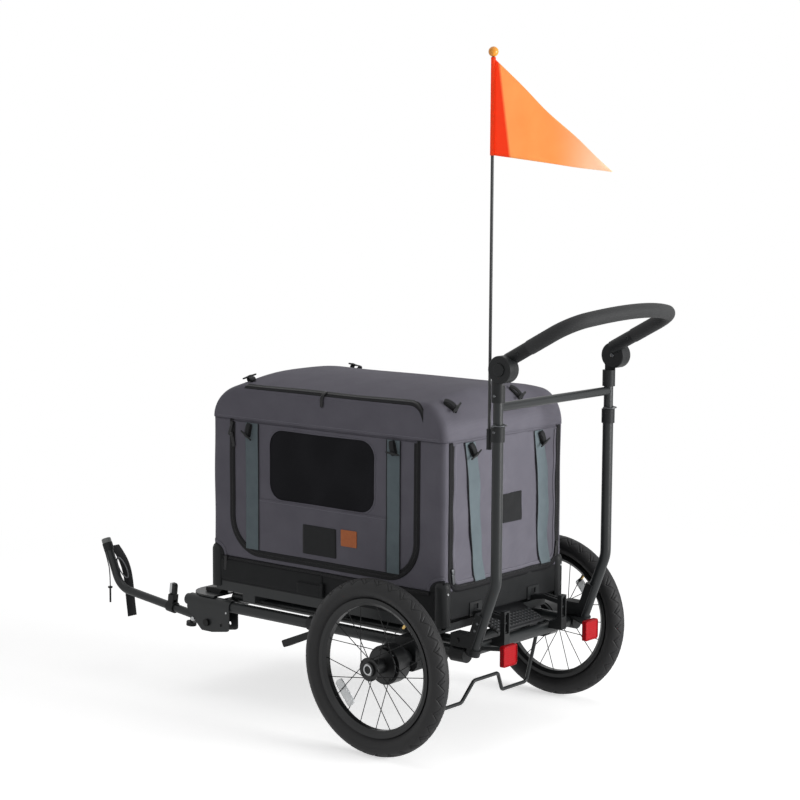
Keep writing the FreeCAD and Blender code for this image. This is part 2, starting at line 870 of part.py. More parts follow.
def spokes():
    # Half of each flange's spokes lead and half trail, so that they cross in pairs
    shapes = []
    rim_reach = float(s.bead_radius - s.rim_depth - s.running_gap)
    rest = float(s.flange_width / 2 + s.spoke_radius + s.seat_gap)
    for side, flange in ((1, s.outer_flange_radius), (-1, s.inner_flange_radius)):
        hub_reach = float(flange - s.spoke_inset)
        reach = math.hypot(rim_reach - hub_reach * math.cos(math.radians(spoke_turn_degrees)),
                           hub_reach * math.sin(math.radians(spoke_turn_degrees)))
        slope = (float(s.flange_spread / 2 - s.spoke_rim_offset) + rest) / reach
        for number in range(flange_spokes):
            lead = 1 if number % 2 else -1
            lift = rest + (float(s.spoke_run) * slope if lead == side else 0.0)
            stagger = stagger_share if side < 0 else 0.0
            rim_angle = math.radians(360.0 * (number + stagger) / flange_spokes)
            hub_angle = rim_angle + lead * math.radians(spoke_turn_degrees)
            start = Vector(side * float(s.flange_spread / 2) + lead * lift,
                           hub_reach * math.cos(hub_angle), hub_reach * math.sin(hub_angle))
            end = Vector(side * float(s.spoke_rim_offset),
                         rim_reach * math.cos(rim_angle), rim_reach * math.sin(rim_angle))
            way = end - start
            shapes.append(Part.makeCylinder(float(s.spoke_radius), way.Length, start, way))
    return feature(Part.makeCompound(shapes))


def spoke_reflector(forward):
    half = s.spoke_reflector_length / 2
    width = s.spoke_reflector_width / 2
    low = s.spoke_reflector_reach - s.spoke_reflector_height / 2
    high = s.spoke_reflector_reach + s.spoke_reflector_height / 2
    body = rounded(block(-width, width, -half, half, low, high), s.spoke_reflector_height * lens_round_share,
                   runs_along("x"))
    holder = group(body)
    holder.Placement = Placement(Vector(), Rotation(Vector(1, 0, 0), forward))
    return group(holder)


def wheels():
    for side, sign, turn, forward in (("left", -1, half_turn, lens_turn_degrees),
                                      ("right", 1, None, 180 - lens_turn_degrees)):
        centre = s.track / 2 * sign
        for name, piece in (("tyre", tyre()), ("rim", rim()), ("hub", hub()), ("spokes", spokes()),
                            ("spoke_reflector", spoke_reflector(forward))):
            node(f"{side}_{name}", piece, centre, s.wheel_radius, turn)


# Rear sockets and handle posts

def post_direction():
    return (Vector(0, float(s.post_y), float(s.post_bend_z))
            - Vector(0, float(s.post_foot_y), float(s.post_foot_z))).normalize()


def slanted_rod(radius, start, length):
    # A rod on the slanted foot of the left post, from a distance above its end
    foot = Vector(-float(s.main_x), float(s.post_foot_y), float(s.post_foot_z))
    up = post_direction()
    return feature(Part.makeCylinder(float(radius), float(length), foot + up * float(start), up))


def rear_sockets():
    body = rod(s.socket_radius, s.main_rear - s.socket_tail, "y", -s.main_x, s.socket_tail, s.main_z)
    tail = ball(s.socket_radius, -s.main_x, s.socket_tail, s.main_z)
    side = rod(s.socket_radius, s.main_x - s.socket_inner_x, "x", -s.main_x, s.rear_cross_y, s.main_z)
    boss = slanted_rod(s.socket_boss_radius, -s.overrun, s.socket_boss_length + s.overrun)
    bore = slanted_rod(s.post_radius + s.seat_gap, 0, s.socket_boss_length + s.overrun)
    arm_half = s.reflector_width * reflector_arm_share
    arm_corners = [
        (-s.main_x, s.socket_tail),
        (-s.socket_inner_x, s.rear_cross_y - s.main_radius - s.seat_gap),
        (-s.reflector_x + arm_half, s.reflector_y),
        (-s.reflector_x - arm_half, s.reflector_y),
    ]
    arm = plate("XY_Plane", arm_corners, s.reflector_arm_thickness, s.reflector_arm_z)
    node("rear_sockets", pair(cut(fuse(body, tail, side, boss, arm), bore)))

    low = s.reflector_top_z - s.reflector_height
    lens = block(-s.reflector_x - s.reflector_width / 2, -s.reflector_x + s.reflector_width / 2,
                 s.reflector_y - s.reflector_depth, s.reflector_y, low, s.reflector_top_z)
    node("rear_reflectors", pair(rounded(lens, s.reflector_round, runs_along("y"))))


def lower_posts():
    points = frame_points((-s.main_x, s.post_foot_y, s.post_foot_z), (-s.main_x, s.post_y, s.post_bend_z),
                          (-s.main_x, s.post_y, s.post_top_z))
    node("lower_posts", pair(bent_tube(points, s.post_bend_radius, s.post_radius, s.post_wall)))

    collar = rod(s.collar_radius, s.collar_top_z - s.collar_bottom_z, "z", -s.main_x, s.post_y,
                 s.collar_bottom_z)
    outer = rod(s.post_radius + s.seat_gap, s.post_top_z - s.collar_bottom_z, "z", -s.main_x, s.post_y,
                s.collar_bottom_z)
    inner = rod(s.upper_radius + s.running_gap, s.collar_top_z - s.collar_bottom_z + s.overrun, "z",
                -s.main_x, s.post_y, s.collar_bottom_z)
    node("post_collars", pair(cut(collar, outer, inner)))


def post_brackets():
    # Moulded sleeve before the slanted post, with a lug that rests on the socket
    foot = Vector(-float(s.main_x), float(s.post_foot_y), float(s.post_foot_z))
    up = post_direction()
    ahead = Vector(0, up.z, -up.y)
    low = float(s.socket_boss_length + s.seat_gap)
    high = low + float(s.clamp_height)
    across = Vector(float(s.clamp_width), 0, 0)
    corners = [foot - across / 2 + up * height + ahead * depth
               for height, depth in ((low, -float(s.clamp_back)), (low, float(s.clamp_front)),
                                     (high, float(s.clamp_front)), (high, -float(s.clamp_back)))]
    sleeve = Part.Face(Part.makePolygon(corners + corners[:1])).extrude(across)
    front_edges = [edge for edge in sleeve.Edges if not runs_along("x")(edge)
                   and (edge.CenterOfMass - corners[0]).dot(ahead) > float(s.clamp_front)]
    sleeve = sleeve.makeFillet(float(s.clamp_round), front_edges)
    socket_top = s.main_z + s.socket_radius + s.seat_gap
    lug = block(-s.main_x - s.clamp_width / 2, -s.main_x + s.clamp_width / 2, s.clamp_lug_rear_y,
                s.clamp_lug_front_y, socket_top, socket_top + s.clamp_lug_height)
    lug = rounded(lug, s.clamp_round,
                  lambda edge: edge.CenterOfMass.y > float(s.clamp_lug_front_y - s.overrun))
    reach = s.socket_boss_length + s.seat_gap + s.clamp_height + s.overrun
    bore = slanted_rod(s.post_radius + s.seat_gap, -s.overrun, reach + s.overrun)
    boss = slanted_rod(s.socket_boss_radius + s.seat_gap, -s.overrun,
                       s.socket_boss_length + s.seat_gap + s.overrun)
    middle_y = (s.clamp_lug_rear_y + s.clamp_lug_front_y) / 2
    head = rod(s.clamp_bolt_radius, s.clamp_bolt_head + s.overrun, "x",
               -s.main_x - s.clamp_width / 2 - s.clamp_bolt_head, middle_y + s.clamp_bolt_radius,
               socket_top + s.clamp_lug_height / 2)
    node("post_brackets", pair(cut(fuse(feature(sleeve), lug, head), bore, boss)))


# Latches, step mat, clips

def cabin_latches():
    # Slotted ribbed bracket on the rear cross tube, and the double hook that reaches it from the tub
    tube_back = s.rear_cross_y - s.main_radius
    corners = [
        (s.latch_rear_y, s.latch_foot_z),
        (tube_back, s.latch_foot_z),
        (tube_back, s.latch_shoulder_z - s.latch_rib * 3),
        (s.latch_face_y, s.latch_shoulder_z),
        (s.latch_face_y, s.latch_top_z),
        (s.latch_rear_y, s.latch_top_z),
    ]
    body = plate("YZ_Plane", corners, s.latch_width, -s.latch_x - s.latch_width / 2)
    left_edge = -s.latch_x - s.latch_slot_width / 2
    right_edge = -s.latch_x + s.latch_slot_width / 2
    slot_middle = (s.latch_slot_bottom_z + s.latch_slot_top_z) / 2
    slots = [block(left_edge, right_edge, s.latch_rear_y - s.overrun, s.latch_face_y + s.overrun, low, high)
             for low, high in ((s.latch_slot_bottom_z, slot_middle - s.latch_rib / 2),
                               (slot_middle + s.latch_rib / 2, s.latch_slot_top_z))]
    relief_depth = (s.latch_face_y - s.latch_rear_y) / 3
    relief = block(-s.latch_x - s.latch_width / 2 + s.latch_rib,
                   -s.latch_x + s.latch_width / 2 - s.latch_rib, s.latch_rear_y - s.overrun,
                   s.latch_rear_y + relief_depth, s.latch_slot_bottom_z - s.latch_rib,
                   s.latch_top_z - s.latch_rib)
    plate_rear = s.cabin_rear_y - s.seat_gap - s.latch_plate_thickness
    hooks = []
    for side in (-1, 1):
        middle = -s.latch_x + s.latch_width / 2 * side - s.hook_width / 2 * side
        hook_corners = [
            (plate_rear, s.hook_z),
            (plate_rear, s.hook_z - s.hook_thickness),
            (s.hook_y, s.hook_z - s.hook_thickness + s.hook_rise),
            (s.latch_face_y, s.hook_z - s.hook_thickness),
            (s.latch_face_y, s.hook_z),
            (s.hook_y, s.hook_z + s.hook_rise),
        ]
        hooks.append(plate("YZ_Plane", hook_corners, s.hook_width, middle - s.hook_width / 2,
                           corner_round=s.hook_thickness / 3, keep=(0, 1, 3, 4)))
    plate_half = s.latch_plate_width / 2
    hook_plate = block(-s.latch_x - plate_half, -s.latch_x + plate_half, plate_rear,
                       s.cabin_rear_y - s.seat_gap, s.hook_z - s.hook_thickness, s.latch_plate_top_z)
    window_half = s.latch_window_width / 2
    window_low = s.hook_z + s.latch_rib
    window = block(-s.latch_x - window_half, -s.latch_x + window_half, plate_rear - s.overrun,
                   s.cabin_rear_y + s.overrun, window_low, window_low + s.latch_window_height)
    deck_top = s.main_z + s.main_radius + s.cheek_gap + s.cheek_wall + s.seat_gap + s.front_plate_thickness
    front_corners = [
        (s.cabin_front_y, s.front_hook_z),
        (s.cabin_front_y, s.front_hook_z - s.hook_thickness * 2),
        (s.front_hook_knee_y - s.hook_thickness, deck_top + s.seat_gap),
        (s.front_hook_tip_y, deck_top + s.seat_gap),
        (s.front_hook_tip_y, deck_top + s.hook_thickness),
        (s.front_hook_knee_y, deck_top + s.hook_thickness * 1.4),
    ]
    front_hook = plate("YZ_Plane", front_corners, s.front_hook_width,
                       -s.front_hook_x - s.front_hook_width / 2, corner_round=s.hook_thickness / 3,
                       keep=(0, 1, 2))
    left = group(cut(body, *slots, relief), fuse(cut(hook_plate, window), *hooks), front_hook)
    node("cabin_latches", pair(left))


def step_mat():
    # Ribbed mat that slopes down from under the tub to a free edge behind the cross tube
    under = s.tub_bottom_z - s.seat_gap
    knee_top = s.mat_knee_z + s.mat_thickness
    corners = [
        (s.mat_low_y, s.mat_low_z),
        (s.mat_knee_y, s.mat_knee_z),
        (s.mat_tail_y, under - s.mat_thickness),
        (s.mat_end_y, under - s.mat_thickness),
        (s.mat_end_y, under),
        (s.mat_tail_y - s.mat_thickness / 2, under),
        (s.mat_knee_y - s.mat_thickness / 2, knee_top),
        (s.mat_low_y, s.mat_low_z + s.mat_thickness),
    ]
    mat = plate("YZ_Plane", corners, s.mat_half_width * 2, -s.mat_half_width)
    rise = s.mat_knee_z - s.mat_low_z
    run = s.mat_knee_y - s.mat_low_y
    ribs = []
    for share in mat_rib_shares:
        y = s.mat_low_y + run * share
        z = s.mat_low_z + rise * share + s.mat_thickness
        ribs.append(block(-s.mat_half_width, s.mat_half_width, y - s.mat_rib_width / 2,
                          y + s.mat_rib_width / 2, z - s.mat_rib_height, z + s.mat_rib_height))
    node("step_mat", fuse(mat, *ribs))


def stand():
    # One bent wire, hinged between two clips on the main tubes
    left_end = s.main_x - s.main_radius - s.running_gap
    half = frame_points(
        (-left_end, s.stand_y, s.stand_z),
        (-s.stand_x, s.stand_y, s.stand_z),
        (-s.stand_x, s.stand_low_y, s.stand_low_z),
        (-s.stand_bump_foot, s.stand_low_y, s.stand_low_z),
        (-s.stand_bump_half, stand_bump_y(), s.stand_bump_z),
    )
    other = [Vector(-point.x, point.y, point.z) for point in reversed(half)]
    return half + other


def stand_bump_y():
    share = float(s.stand_z - s.stand_bump_z) / float(s.stand_z - s.stand_low_z)
    return float(s.stand_y) + share * float(s.stand_low_y - s.stand_y)


def stand_and_pedal():
    node("wire_stand", bent_tube(stand(), s.stand_bend_radius, s.stand_radius))

    seat_x = s.main_x - s.main_radius
    saddle = rod(s.main_radius + s.seat_gap, s.stand_clip_radius * 4, "y", -s.main_x,
                 s.stand_y - s.stand_clip_radius * 2, s.main_z)
    eye = rod(s.stand_clip_radius, s.stand_clip_length + s.main_radius, "x", -s.main_x, s.stand_y, s.stand_z)
    hole = rod(s.stand_radius + s.seat_gap, s.main_radius * 3, "x", -s.main_x - s.overrun, s.stand_y,
               s.stand_z)
    clip = cut(eye, saddle, hole)

    band_radius = s.main_radius + s.pedal_clip_wall
    start = s.pedal_y - s.pedal_clip_length / 2
    band = rod(band_radius, s.pedal_clip_length, "y", -s.main_x, start, s.main_z)
    ear_half = s.pedal_width / 2 - s.pedal_wall - s.running_gap
    ear = block(-s.main_x - ear_half, -s.main_x + ear_half, s.pedal_y - s.pedal_pin_radius * 2,
                s.pedal_y + s.pedal_pin_radius * 2, s.pedal_z - s.pedal_pin_radius * 2, s.main_z)
    bore = rod(s.main_radius + s.seat_gap, s.pedal_clip_length * 2, "y", -s.main_x, start - s.overrun,
               s.main_z)
    pin = rod(s.pedal_pin_radius, s.pedal_width, "x", -s.main_x - s.pedal_width / 2, s.pedal_y, s.pedal_z)
    pedal_clip = fuse(cut(fuse(band, ear), bore), pin)
    node("tube_clips", group(clip, mirrored(clip), pedal_clip))

    # Channel pedal with a rounded toe, open towards the tube at its root
    way_y = s.pedal_end_y - s.pedal_y
    way_z = s.pedal_end_z - s.pedal_z
    corners = [
        (s.pedal_y - s.pedal_height / 2, s.pedal_z + s.pedal_height / 4),
        (s.pedal_y - s.pedal_height / 4, s.pedal_z - s.pedal_height / 2),
        (s.pedal_y + way_y * toe_shares[0], s.pedal_z + way_z - s.pedal_height / 2),
        (s.pedal_y + way_y * toe_shares[1], s.pedal_z + way_z + s.pedal_height / 2),
        (s.pedal_y + s.pedal_height / 2, s.pedal_z + s.pedal_height / 4),
    ]
    body = plate("YZ_Plane", corners, s.pedal_width, -s.main_x - s.pedal_width / 2,
                 corner_round=s.pedal_height / 4)
    channel_half = s.pedal_width / 2 - s.pedal_wall
    channel_corners = [
        (s.pedal_y - s.pedal_height, s.pedal_z + s.pedal_height),
        (s.pedal_y - s.pedal_height, s.pedal_z - s.pedal_height),
        (s.pedal_y + s.pedal_height / 2, s.pedal_z - s.pedal_height),
        (s.pedal_y + way_y * channel_shares[0], s.pedal_z + way_z - s.pedal_height / 4),
        (s.pedal_y + way_y * channel_shares[1], s.pedal_z + way_z + s.pedal_height),
        (s.pedal_y + s.pedal_height, s.pedal_z + s.pedal_height),
    ]
    channel = plate("YZ_Plane", channel_corners, channel_half * 2, -s.main_x - channel_half)
    eye_hole = rod(s.pedal_pin_radius + s.seat_gap, s.pedal_width * 2, "x", -s.main_x - s.pedal_width,
                   s.pedal_y, s.pedal_z)
    node("parking_pedal", cut(body, channel, eye_hole))


# Tow bracket and tow arm

def tow_bracket():
    # Sheet folded over the left main tube, with two cheeks that hold the arm's pivot
    inner = s.main_radius + s.cheek_gap
    outer = inner + s.cheek_wall
    length = s.cheek_front_y - s.cheek_rear_y
    outside = fuse(rod(outer, length, "y", -s.main_x, s.cheek_rear_y, s.main_z),
                   block(-s.main_x - outer, -s.main_x + outer, s.cheek_rear_y, s.cheek_front_y, s.cheek_low_z,
                         s.main_z))
    inside = fuse(rod(inner, length + s.overrun * 2, "y", -s.main_x, s.cheek_rear_y - s.overrun, s.main_z),
                  block(-s.main_x - inner, -s.main_x + inner, s.cheek_rear_y - s.overrun,
                        s.cheek_front_y + s.overrun, s.cheek_low_z - s.overrun, s.main_z))
    corners = [
        (s.cheek_rear_y, s.main_z + outer),
        (s.cheek_rear_y, s.cheek_rear_z),
        (s.cheek_heel_y, s.cheek_low_z),
        (s.cheek_toe_y, s.cheek_low_z),
        (s.cheek_nose_y, s.cheek_nose_z),
        (s.cheek_front_y, s.cheek_front_z),
        (s.cheek_front_y, s.main_z + outer),
    ]
    holes = [(s.tow_pivot_y, s.tow_pivot_z, s.tow_bolt_radius + s.seat_gap),
             (s.tow_lock_hole_y, s.tow_pivot_z, s.tow_lock_hole_radius)]
    side = plate("YZ_Plane", corners, s.main_x * 2, -s.main_x * 2, holes, s.cheek_round, keep=(0, 6))
    node("tow_bracket", common(cut(outside, inside), side))

    shank = rod(s.tow_bolt_radius, outer * 2, "x", -s.main_x - outer, s.tow_pivot_y, s.tow_pivot_z)
    head = rod(s.tow_bolt_head_radius, s.tow_bolt_head, "x", -s.main_x - outer - s.tow_bolt_head,
               s.tow_pivot_y, s.tow_pivot_z)
    nut = rod(s.tow_bolt_head_radius, s.tow_bolt_head, "x", -s.main_x + outer, s.tow_pivot_y, s.tow_pivot_z)
    node("tow_bolt", fuse(shank, head, nut))


def tow_slope():
    return (Vector(0, float(s.tow_bend_y), float(s.tow_bend_z))
            - Vector(0, float(s.tow_pivot_y), float(s.tow_pivot_z))).normalize()


def tow_point(y, lift=0.0):
    # A place on the arm's straight run, lifted square to it
    way = tow_slope()
    reach = (float(y) - float(s.tow_pivot_y)) / way.y
    return (Vector(-float(s.main_x), float(s.tow_pivot_y), float(s.tow_pivot_z)) + way * reach
            + Vector(0, -way.z, way.y) * float(lift))


def hitch_direction():
    return (Vector(0, float(s.tow_end_y), float(s.tow_end_z))
            - Vector(0, float(s.tow_bend_y), float(s.tow_bend_z))).normalize()


def hitch_rod(radius, start, length):
    way = hitch_direction()
    end = Vector(-float(s.main_x), float(s.tow_end_y), float(s.tow_end_z))
    return Part.makeCylinder(float(radius), float(length), end + way * float(start), way)


def tow_arm():
    pivot = tow_point(s.tow_pivot_y)
    tail = pivot - tow_slope() * float(s.tow_tail)
    bend = frame_points((-s.main_x, s.tow_bend_y, s.tow_bend_z), (-s.main_x, s.tow_end_y, s.tow_end_z))
    arm = bent_tube([tail] + bend, s.tow_bend_radius, s.tow_radius, s.tow_wall)
    bore = rod(s.tow_bolt_radius + s.seat_gap, s.tow_radius * 4, "x", -s.main_x - s.tow_radius * 2,
               s.tow_pivot_y, s.tow_pivot_z)
    node("tow_arm", cut(arm, bore))

    # Collar under the hitch cap, and the clamp that carries the lock lever
    collar = hitch_rod(s.hitch_collar_radius, -s.hitch_collar_length, s.hitch_collar_length)
    collar = collar.cut(hitch_rod(s.tow_radius + s.seat_gap, -s.hitch_collar_length, s.hitch_collar_length))
    way = tow_slope()
    length = float(s.lever_clamp_length)
    start = tow_point(s.lever_y) - way * (length / 2)
    clamp_radius = float(s.tow_radius + s.lever_clamp_wall)
    clamp = Part.makeCylinder(clamp_radius, length, start, way)
    lift = clamp_radius + float(s.lever_pivot_rise)
    top = float(s.lever_pivot_rise) + float(s.lever_depth) / 2
    wide = float(s.lever_width) + 2 * float(s.lever_ear) + 2 * float(s.running_gap)
    ears = Part.makeBox(wide, float(s.lever_depth), clamp_radius + top)
    gap = Part.makeBox(float(s.lever_width) + 2 * float(s.running_gap), 3 * float(s.lever_depth), 2 * lift)
    ears.translate(Vector(-wide / 2, -float(s.lever_depth) / 2, 0))
    gap.translate(Vector(-float(s.lever_width) / 2 - float(s.running_gap), -1.5 * float(s.lever_depth),
                         clamp_radius))
    turn = Placement(tow_point(s.lever_y), Rotation(Vector(1, 0, 0), math.degrees(math.atan2(way.z, way.y))))
    ears = ears.cut(gap)
    pin = Part.makeCylinder(float(s.lever_pin_radius), wide, Vector(-wide / 2, 0, lift), Vector(1, 0, 0))
    ears = ears.fuse(pin)
    ears.Placement = turn
    clamp = clamp.fuse(ears)
    clamp = clamp.cut(Part.makeCylinder(float(s.tow_radius + s.seat_gap), length, start, way))
    node("arm_collars", feature(Part.makeCompound([collar, clamp])))

    cap = hitch_rod(s.hitch_cap_radius, 0, s.hitch_cap_length)
    cap = cap.makeFillet(float(s.hitch_cap_radius) / 4, [edge for edge in cap.Edges
                         if edge.CenterOfMass.z > float(s.tow_end_z) + float(s.hitch_cap_length) / 2
                         and edge.Curve.TypeId == "Part::GeomCircle"])
    cap = cap.fuse(hitch_rod(s.tow_radius - s.tow_wall - s.seat_gap, -s.hitch_bore_depth, s.hitch_bore_depth))
    cap = cap.cut(hitch_rod(s.hitch_bore_radius, s.hitch_cap_length - s.hitch_bore_depth,
                            s.hitch_bore_depth + s.overrun))
    node("hitch_cap", feature(cap))

    lever = Part.makeBox(float(s.lever_width), float(s.lever_depth), float(s.lever_height))
    lever = lever.makeFillet(float(s.lever_depth) * lever_round_share, [edge for edge in lever.Edges
                             if runs_along("x")(edge)])
    lever.translate(Vector(-float(s.lever_width) / 2, -float(s.lever_depth) / 2,
                           lift - float(s.lever_depth) / 2))
    lever = lever.cut(Part.makeCylinder(float(s.lever_pin_radius + s.seat_gap), 2 * wide, Vector(-wide, 0,
                                                                                                 lift),
                                                                                                 Vector(1,
                                                                                                        0,
                                                                                                        0)))
    lever.Placement = turn
    node("lock_lever", feature(lever))

    under = tow_point(s.knob_y, -float(s.tow_radius) - float(s.running_gap))
    down = Vector(0, way.z, -way.y)
    stem = Part.makeCylinder(float(s.knob_stem_radius), float(s.knob_stem), under, down)
    grip = Part.makeCylinder(float(s.knob_radius), float(s.knob_height), under + down * float(s.knob_stem),
                             down)
    node("lock_knob", feature(stem.fuse(grip)))


def flat_strap(route, x, width, thickness):
    # A band of webbing along its route, with its width across the trailer
    half = float(thickness) / 2
    path = cord_path(frame_points(*[(x, y, z) for y, z in route]))
    first = path.Edges[0]
    way = first.tangentAt(first.FirstParameter)
    side = Vector(1, 0, 0) * (float(width) / 2)
    up = way.cross(Vector(1, 0, 0)).normalize() * half
    start = first.valueAt(first.FirstParameter)
    corners = [start - side - up, start + side - up, start + side + up, start - side + up, start - side - up]
    return path.makePipeShell([Part.makePolygon(corners)], True, False)


def hitch_tether():
    strap_x = -s.main_x + s.hitch_collar_radius + s.cord_gap + s.strap_width / 2
    node("safety_strap", feature(flat_strap(strap_route, strap_x, s.strap_width, s.strap_thickness)))

    lanyard_x = -s.main_x - s.hitch_collar_radius - s.cord_gap - s.lanyard_radius
    points = frame_points(*[(lanyard_x, y, z) for y, z in lanyard_route])
    path = cord_path(points)
    cord = sweep(path, s.lanyard_radius)
    expected = math.pi * float(s.lanyard_radius) ** 2 * path.Length
    print("lanyard volume ratio", round(cord.Volume / expected, 4))
    node("pin_lanyard", feature(cord))

    end = points[-1]
    down = Vector(0, 0, -1)
    head = Part.makeCylinder(float(s.pin_head_radius), float(s.pin_head), end, down)
    shank = Part.makeCylinder(float(s.pin_radius), float(s.pin_length), end + down * float(s.pin_head), down)
    node("hitch_pin", feature(head.fuse(shank)))


# Handle

def handle_frame():
    top = s.sleeve_bottom_z
    post = tube(s.upper_radius, s.upper_wall, top - s.upper_bottom_z, "z", -s.main_x, s.post_y,
                s.upper_bottom_z)
    pin_z = s.collar_top_z + s.lock_pin_radius + s.running_gap
    hole = rod(s.lock_pin_radius + s.seat_gap, s.upper_radius * 4, "x", -s.main_x - s.upper_radius * 2,
               s.post_y, pin_z)
    post = cut(post, hole)
    bar = rod(s.crossbar_radius, s.main_x * 2, "x", -s.main_x, s.post_y, s.crossbar_z)
    core = rod(s.upper_radius - s.upper_wall / 2, s.crossbar_radius * 4, "z", -s.main_x, s.post_y,
               s.crossbar_z - s.crossbar_radius * 2)
    node("handle_frame", fuse(post, mirrored(post), cut(bar, core, mirrored(core))))

    pin = rod(s.lock_pin_radius, s.lock_ring_radius * 2, "x", -s.main_x - s.lock_ring_radius, s.post_y, pin_z)
    bail = ring(s.lock_ring_radius, s.lock_ring_wire, half_turn, -s.main_x, s.post_y, pin_z, 180)
    node("lock_pins", pair(fuse(pin, bail)))


def hub_housings():
    # Outer half of each tilt hub, on the post's sleeve, with the pivot pin and the button's well
    face = s.tilt_split_x + s.running_gap
    disc = rod(s.tilt_radius, s.tilt_outer_x - face, "x", -s.tilt_outer_x, s.tilt_y, s.tilt_z)
    disc = rounded(disc, s.tilt_round, lambda edge: edge.Curve.TypeId == "Part::GeomCircle"
                   and edge.CenterOfMass.x < -float(s.tilt_outer_x - s.tilt_round))
    sleeve = rod(s.sleeve_radius, s.sleeve_top_z - s.sleeve_bottom_z, "z", -s.main_x, s.post_y,
                 s.sleeve_bottom_z)
    shank = rod(s.sleeve_radius, s.tilt_z - s.sleeve_bottom_z, "z", -s.main_x, s.post_y, s.sleeve_bottom_z)
    outside = block(-s.tilt_outer_x, -face, s.post_y - s.tilt_radius, s.post_y + s.tilt_radius,
                    s.sleeve_bottom_z, s.tilt_z)
    neck = common(shank, outside)
    pin = rod(s.tilt_pin_radius, s.tilt_outer_x - s.tilt_inner_x - s.button_height, "x",
              -s.tilt_outer_x + s.button_height, s.tilt_y, s.tilt_z)
    well_depth = s.button_height - s.button_proud + s.button_travel + s.running_gap
    well = rod(s.button_radius + s.running_gap, well_depth + s.overrun, "x", -s.tilt_outer_x - s.overrun,
               s.tilt_y, s.tilt_z)
    node("hub_housings", pair(cut(fuse(disc, sleeve, neck, pin), well)))


def bar_point(x, reach):
    # A place on the bar's sloping plane, which lies above the tilt axis
    rise = math.radians(bar_rise_degrees)
    lift = float(s.bar_lift)
    return Vector(float(x), float(s.tilt_y) - float(reach) * math.cos(rise) + lift * math.sin(rise),
                  float(s.tilt_z) + float(reach) * math.sin(rise) + lift * math.cos(rise))


def bar_points(start):
    # Two legs, and a middle run that bows outwards
    crest = s.bar_reach + s.bar_x * math.tan(math.radians(bar_bow_degrees))
    half = [bar_point(-s.bar_x, start), bar_point(-s.bar_x, s.bar_reach)]
    other = [Vector(-point.x, point.y, point.z) for point in reversed(half)]
    return half + [bar_point(0, crest)] + other


def handle_bar():
    bow = math.radians(bar_bow_degrees)
    corner_setback = float(s.bar_bend_radius) * math.tan((math.pi / 2 - bow) / 2)
    bow_radius = (float(s.bar_x) / math.cos(bow) - corner_setback) * bow_share / math.tan(bow)
    bends = (s.bar_bend_radius, bow_radius, s.bar_bend_radius)
    bar_path = bent_path(bar_points(s.bar_start), *bends)
    bar = sweep(bar_path, s.bar_radius).cut(sweep(bar_path, s.bar_radius - s.bar_wall))
    node("handle_bar", feature(bar))

    path = bent_path(bar_points(s.stub_end), *bends)
    grip = sweep(path, s.grip_radius).cut(sweep(path, s.bar_radius + s.seat_gap))
    node("handle_grip", feature(grip))

    # Inner half of each tilt hub, with the stub that takes the bar's end
    disc = rod(s.tilt_radius, s.tilt_split_x - s.tilt_inner_x, "x", -s.tilt_split_x, s.tilt_y, s.tilt_z)
    disc = rounded(disc, s.tilt_round, lambda edge: edge.Curve.TypeId == "Part::GeomCircle"
                   and edge.CenterOfMass.x > -float(s.tilt_inner_x + s.tilt_round))
    way = (bar_point(-s.bar_x, s.bar_reach) - bar_point(-s.bar_x, 0)).normalize()
    stub = feature(Part.makeCylinder(float(s.stub_radius), float(s.stub_end - s.stub_start),
                                     bar_point(-s.bar_x, s.stub_start), way))
    bore = feature(Part.makeCylinder(float(s.bar_radius + s.seat_gap), float(s.stub_end),
                                     bar_point(-s.bar_x, s.bar_start), way))
    pin_hole = rod(s.tilt_pin_radius + s.seat_gap, s.tilt_outer_x, "x", -s.tilt_outer_x, s.tilt_y, s.tilt_z)
    node("hub_discs", pair(cut(fuse(disc, stub), bore, pin_hole)))

    for side, sign in (("left", -1), ("right", 1)):
        inner = s.tilt_outer_x + s.button_proud - s.button_height
        outer = s.tilt_outer_x + s.button_proud
        start = -outer if sign < 0 else inner
        button = rod(s.button_radius, s.button_height, "x", start, s.tilt_y, s.tilt_z)
        edge_x = float(outer) * sign
        button = rounded(button, s.button_proud / 2, lambda edge: edge.Curve.TypeId == "Part::GeomCircle"
                         and abs(edge.CenterOfMass.x - edge_x) < 1e-3)
        node(f"{side}_tilt_button", button)


# Flag

